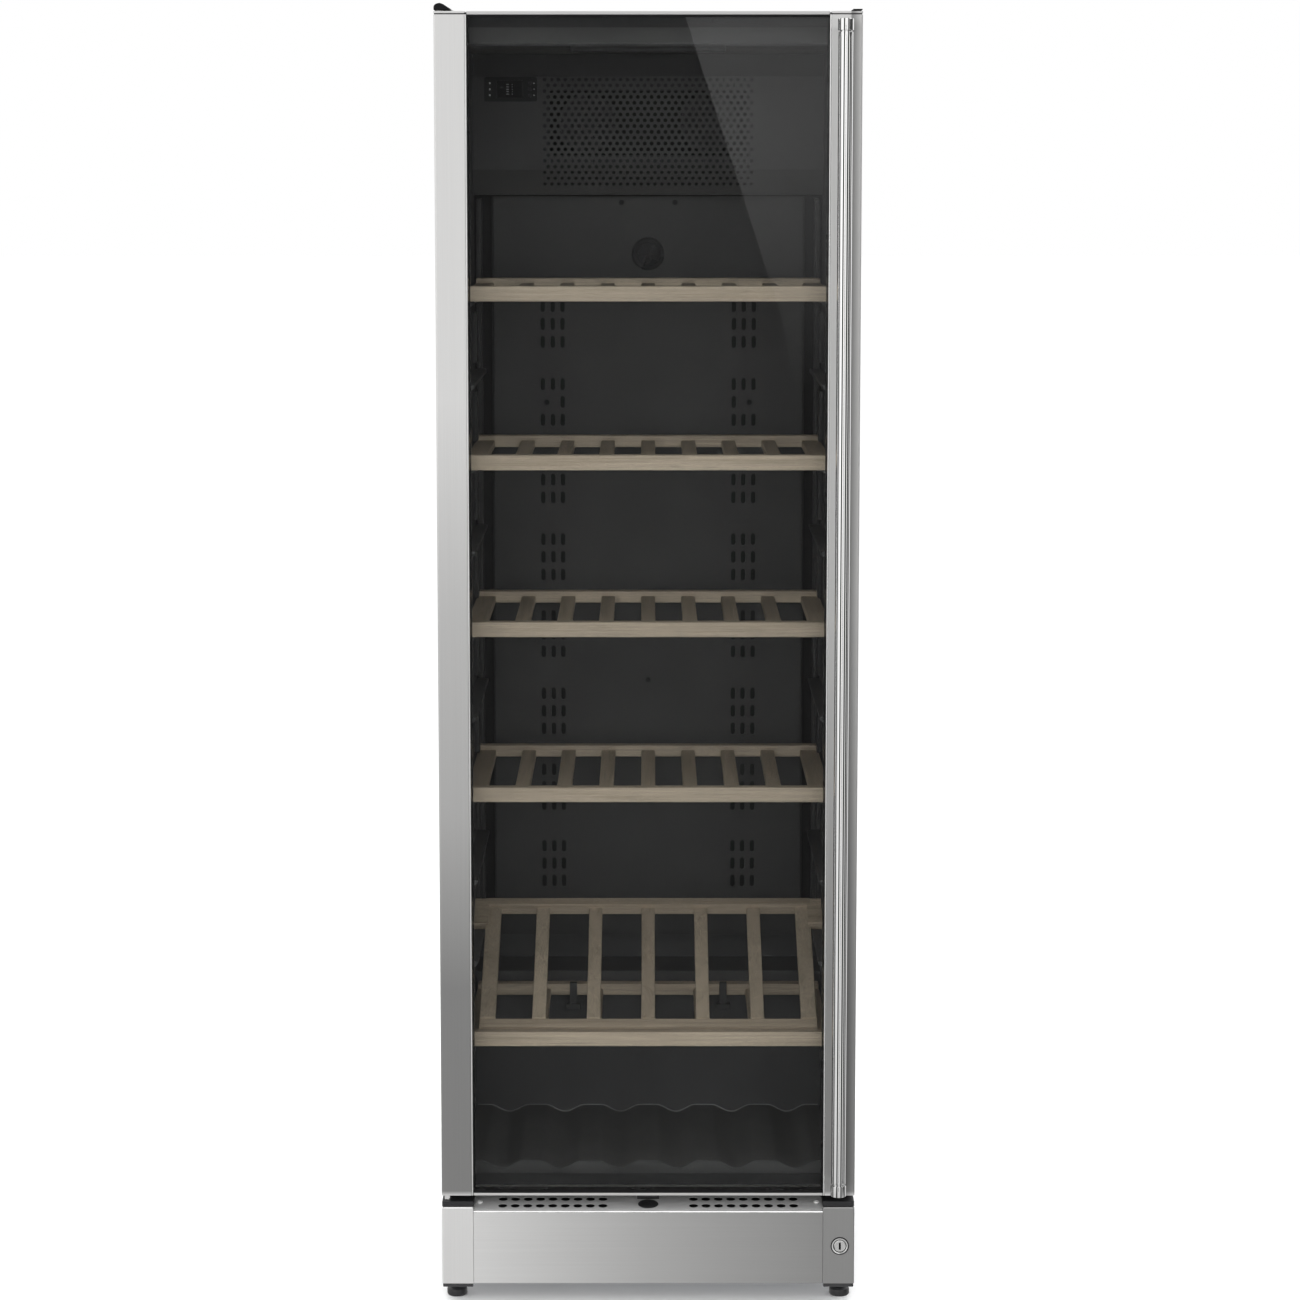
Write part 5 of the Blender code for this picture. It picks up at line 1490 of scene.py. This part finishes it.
def build_back():
    for name in ("rear_panel", "floor_pan", "base_frame", "wall_spacer"):
        dress(name, M["zinc"], 0.0003)
    dress("evaporator_coil", M["fins"], 0.0)
    dress("evaporation_tray", M["black"], 0.0008)
    dress("mains_inlet", M["black"], 0.0012)
    low, high = BOX["rear_panel"]
    bm = bmesh.new()
    for k in range(12):
        for side in (-1, 1):
            z = low.z + 0.030 + (high.z - low.z - 0.060) * k / 11
            screw_bmesh(bm, facing((side * (high.x - 0.010), high.y + 0.0001, z), (0, 1, 0)), 0.0038, 0.0007)
    make_piece("rear_screws", bm, M["bare"], "cabinet", "bare_steel")


def build_condenser():
    runs, half, top, bottom = 12, 0.215, 1.760, 0.440
    pitch = (top - bottom) / (runs - 1)
    y = depth(0.5892)
    route = [Vector((-half, depth(0.5820), top))]
    for number in range(runs):
        height = top - number * pitch
        way = 1 if number % 2 == 0 else -1
        route += [Vector((-way * half, y, height)), Vector((way * half, y, height))]
    inside_y = depth(0.530)
    drop_x = -half + 0.060
    route += [Vector((-half, y, 0.300)), Vector((drop_x, y, 0.270)), Vector((drop_x, inside_y, 0.270))]
    route += [Vector((drop_x, inside_y, 0.120)), Vector((0.0145, inside_y, 0.120))]
    bm = bmesh.new()
    add_tube(bm, rounded_route(route, 0.014, 5), 0.0025, 10)
    wires, wire = 42, 0.0007
    for k in range(wires):
        x = -0.200 + 0.400 * k / (wires - 1)
        for way in (-1, 1):
            side_y = y + way * 0.0031
            add_tube(bm, [(x, side_y, bottom - 0.010), (x, side_y, top + 0.010)], wire, 6)
    make_piece("condenser_grid", bm, M["enamel"], "cabinet", "black_paint", "condenser_coil")


def build_compressor():
    low, high = BOX["compressor"]
    x, y = (low.x + high.x) / 2, (low.y + high.y) / 2
    stretch = 1.45
    oval = Matrix.Translation((x, y, 0)) @ Matrix.Diagonal((stretch, 1.0, 1.0, 1.0))
    profile = [(0.0, 0.2040), (0.014, 0.2036), (0.030, 0.2018), (0.042, 0.1978), (0.050, 0.1915)]
    profile += [(0.0545, 0.1830), (0.0560, 0.1720), (0.0560, 0.1420), (0.0572, 0.1408), (0.0580, 0.1396)]
    profile += [(0.0580, 0.1340), (0.0572, 0.1328), (0.0560, 0.1316), (0.0560, 0.0760), (0.0540, 0.0660)]
    profile += [(0.0490, 0.0580), (0.0400, 0.0545), (0.0, 0.0540)]
    bm = bmesh.new()
    add_lathe(bm, profile, oval, 56)
    plate = bmesh.new()
    outline = filleted(rectangle(low.x, low.y + 0.008, high.x, high.y - 0.008), 0.014, 5)
    add_prism(plate, outline, "Z", 0.0465, 0.0540)
    soften(plate, 0.0008, 2, 50)
    merge(bm, plate)
    foot = [(0.0, 0.0470), (0.0100, 0.0470), (0.0100, 0.0440), (0.0085, 0.0420)]
    foot += [(0.0100, 0.0395), (0.0100, 0.0361), (0.0, 0.0361)]
    for sx in (-1, 1):
        for sy in (-1, 1):
            add_lathe(bm, foot, Matrix.Translation((x + sx * 0.083, y + sy * 0.036, 0)), 24)
    make_piece("compressor_shell", bm, M["enamel"], "cabinet", "black_paint", "compressor")


# ---------------------------------------------------------------- stage, light and camera


def stage_plane(name, corners, material, **visible):
    mesh = bpy.data.meshes.new(name)
    mesh.from_pydata(corners, [], [tuple(range(len(corners)))])
    mesh.materials.append(material)
    obj = bpy.data.objects.new(name, mesh)
    bpy.context.scene.collection.objects.link(obj)
    for key, value in visible.items():
        setattr(obj, f"visible_{key}", value)
    return obj


def build_floor():
    made, tree, shader = new_material("floor_paper")
    grain = noise(tree, (30.0, 30.0, 30.0), detail=5.0)
    colour = shaded(tree, (0.95, 0.95, 0.95), to_range(tree, grain, 0.99, 1.01))
    tree.links.new(colour, shader.inputs["Base Color"])
    shader.inputs["Roughness"].default_value = 0.9
    shader.inputs["Specular IOR Level"].default_value = 0.0
    far = 60.0
    corners = [(-far, -far, 0), (far, -far, 0), (far, far, 0), (-far, far, 0)]
    stage_plane("floor", corners, made, glossy=False)


def glow(name, strength_from):
    """An emission material whose strength is a socket made by strength_from."""
    made = bpy.data.materials.new(name)
    made.use_nodes = True
    tree = made.node_tree
    tree.nodes.clear()
    out = tree.nodes.new("ShaderNodeOutputMaterial")
    light = tree.nodes.new("ShaderNodeEmission")
    tree.links.new(light.outputs[0], out.inputs["Surface"])
    tree.links.new(strength_from(tree), light.inputs["Strength"])
    return made


def build_cards():
    """Cards that only mirrors see: a dark one far behind the camera and a window's glare in front of it."""
    unseen = dict.fromkeys(("camera", "diffuse", "shadow", "transmission", "volume_scatter"), False)

    def dark(tree):
        return to_range(tree, object_axis(tree, 2), 0.07, 0.085, -11.0, 3.4)

    def fade(tree):
        return to_range(tree, object_axis(tree, 2), 0.10, 0.46, 0.95, 1.75)

    far, half, bottom, top, near = -40.0, 2.16, -11.2, 3.5, -6.9
    corners = [(-half, far, bottom), (half, far, bottom), (half, far, top), (-half, far, top)]
    stage_plane("dark_card", corners, glow("dark", dark), **unseen)
    window = [(0.111, 2.104), (0.418, 1.163), (0.46, 0.95), (0.60, 0.95), (0.60, 2.104)]
    corners = [(x, near, z) for x, z in window]
    stage_plane("glare_card", corners, glow("glare", fade), **unseen)


def build_world():
    """White to the camera; in mirrors bright above, dimmer below, dark far right, brighter left."""
    world = bpy.data.worlds.new("studio")
    bpy.context.scene.world = world
    world.use_nodes = True
    tree = world.node_tree
    background = tree.nodes["Background"]
    direction = add_node(tree, "ShaderNodeTexCoord").outputs["Generated"]
    rise = add_node(tree, "ShaderNodeSeparateXYZ", Vector=direction).outputs[2]
    share = to_range(tree, rise, 0.0, 1.0, -0.4, 0.6)
    stops = [(0.0, 0.58), (0.15, 0.70), (0.28, 0.88), (0.40, 1.0), (1.0, 1.12)]
    light = ramp(tree, share, [(place, (level,) * 3) for place, level in stops])

    def towards(turn, low, high, near, far):
        """A factor from low to high as a direction nears this many degrees right of the front."""
        way = (math.sin(math.radians(turn)), -math.cos(math.radians(turn)), 0.0)
        product = vector_math(tree, "DOT_PRODUCT", direction, way)["Value"]
        return to_range(tree, product, low, high, near, far)

    dark_right, bright_left = towards(74, 1.0, 0.04, 0.91, 0.955), towards(-32, 1.0, 1.5, 0.94, 0.975)
    flagged = shaded(tree, light, multiply(tree, dark_right, bright_left))
    camera_ray = add_node(tree, "ShaderNodeLightPath").outputs["Is Camera Ray"]
    mixed = add_node(tree, "ShaderNodeMix", {"data_type": "RGBA"})
    tree.links.new(camera_ray, mixed.inputs["Factor"])
    tree.links.new(flagged, mixed.inputs["A"])
    mixed.inputs["B"].default_value = (1.0, 1.0, 1.0, 1.0)
    tree.links.new(mixed.outputs["Result"], background.inputs["Color"])


def area_light(name, place, target, size, power):
    """A soft box that lights matt surfaces only."""
    light = bpy.data.lights.new(name, "AREA")
    light.shape = "RECTANGLE"
    light.size, light.size_y = size
    light.energy = power
    obj = bpy.data.objects.new(name, light)
    obj.location = place
    obj.rotation_euler = (Vector(target) - Vector(place)).to_track_quat("-Z", "Y").to_euler()
    obj.visible_glossy = False
    obj.visible_camera = False
    bpy.context.scene.collection.objects.link(obj)


def build_lights():
    area_light("front_fill", (0.0, -5.2, 2.2), (0, 0, 1.0), (4.0, 3.0), 190.0)
    area_light("top_soft", (0.0, -1.0, 4.2), (0, 0, 0.8), (4.0, 3.0), 110.0)


def build_camera():
    camera = bpy.data.cameras.new("camera")
    camera.sensor_width = 36.0
    camera.lens = 104.66
    camera.shift_x = 0.0014
    obj = bpy.data.objects.new("camera", camera)
    away, height, down = 5.30, 1.6437, math.radians(7.38)
    obj.location = (0.0, FRONT - away, height)
    obj.rotation_euler = (math.pi / 2 - down, 0.0, 0.0)
    camera.clip_end = 200.0
    bpy.context.scene.collection.objects.link(obj)
    bpy.context.scene.camera = obj


bpy.context.scene.view_settings.view_transform = "Standard"
for build in (
    build_camera,
    build_stiles,
    build_rails,
    build_glazing,
    build_gasket,
    build_handle,
    build_kick_panel,
    build_columns,
    build_lock,
    build_feet,
    build_casing,
    build_top,
    build_liner,
    build_evaporator_cover,
    build_fans,
    build_controller,
    build_duct_panel,
    build_filter,
    build_lamp,
    build_shelves,
    build_rack_clips,
    build_rack,
    build_cradle,
    build_back,
    build_condenser,
    build_compressor,
    build_floor,
    build_cards,
    build_world,
    build_lights,
):
    build()
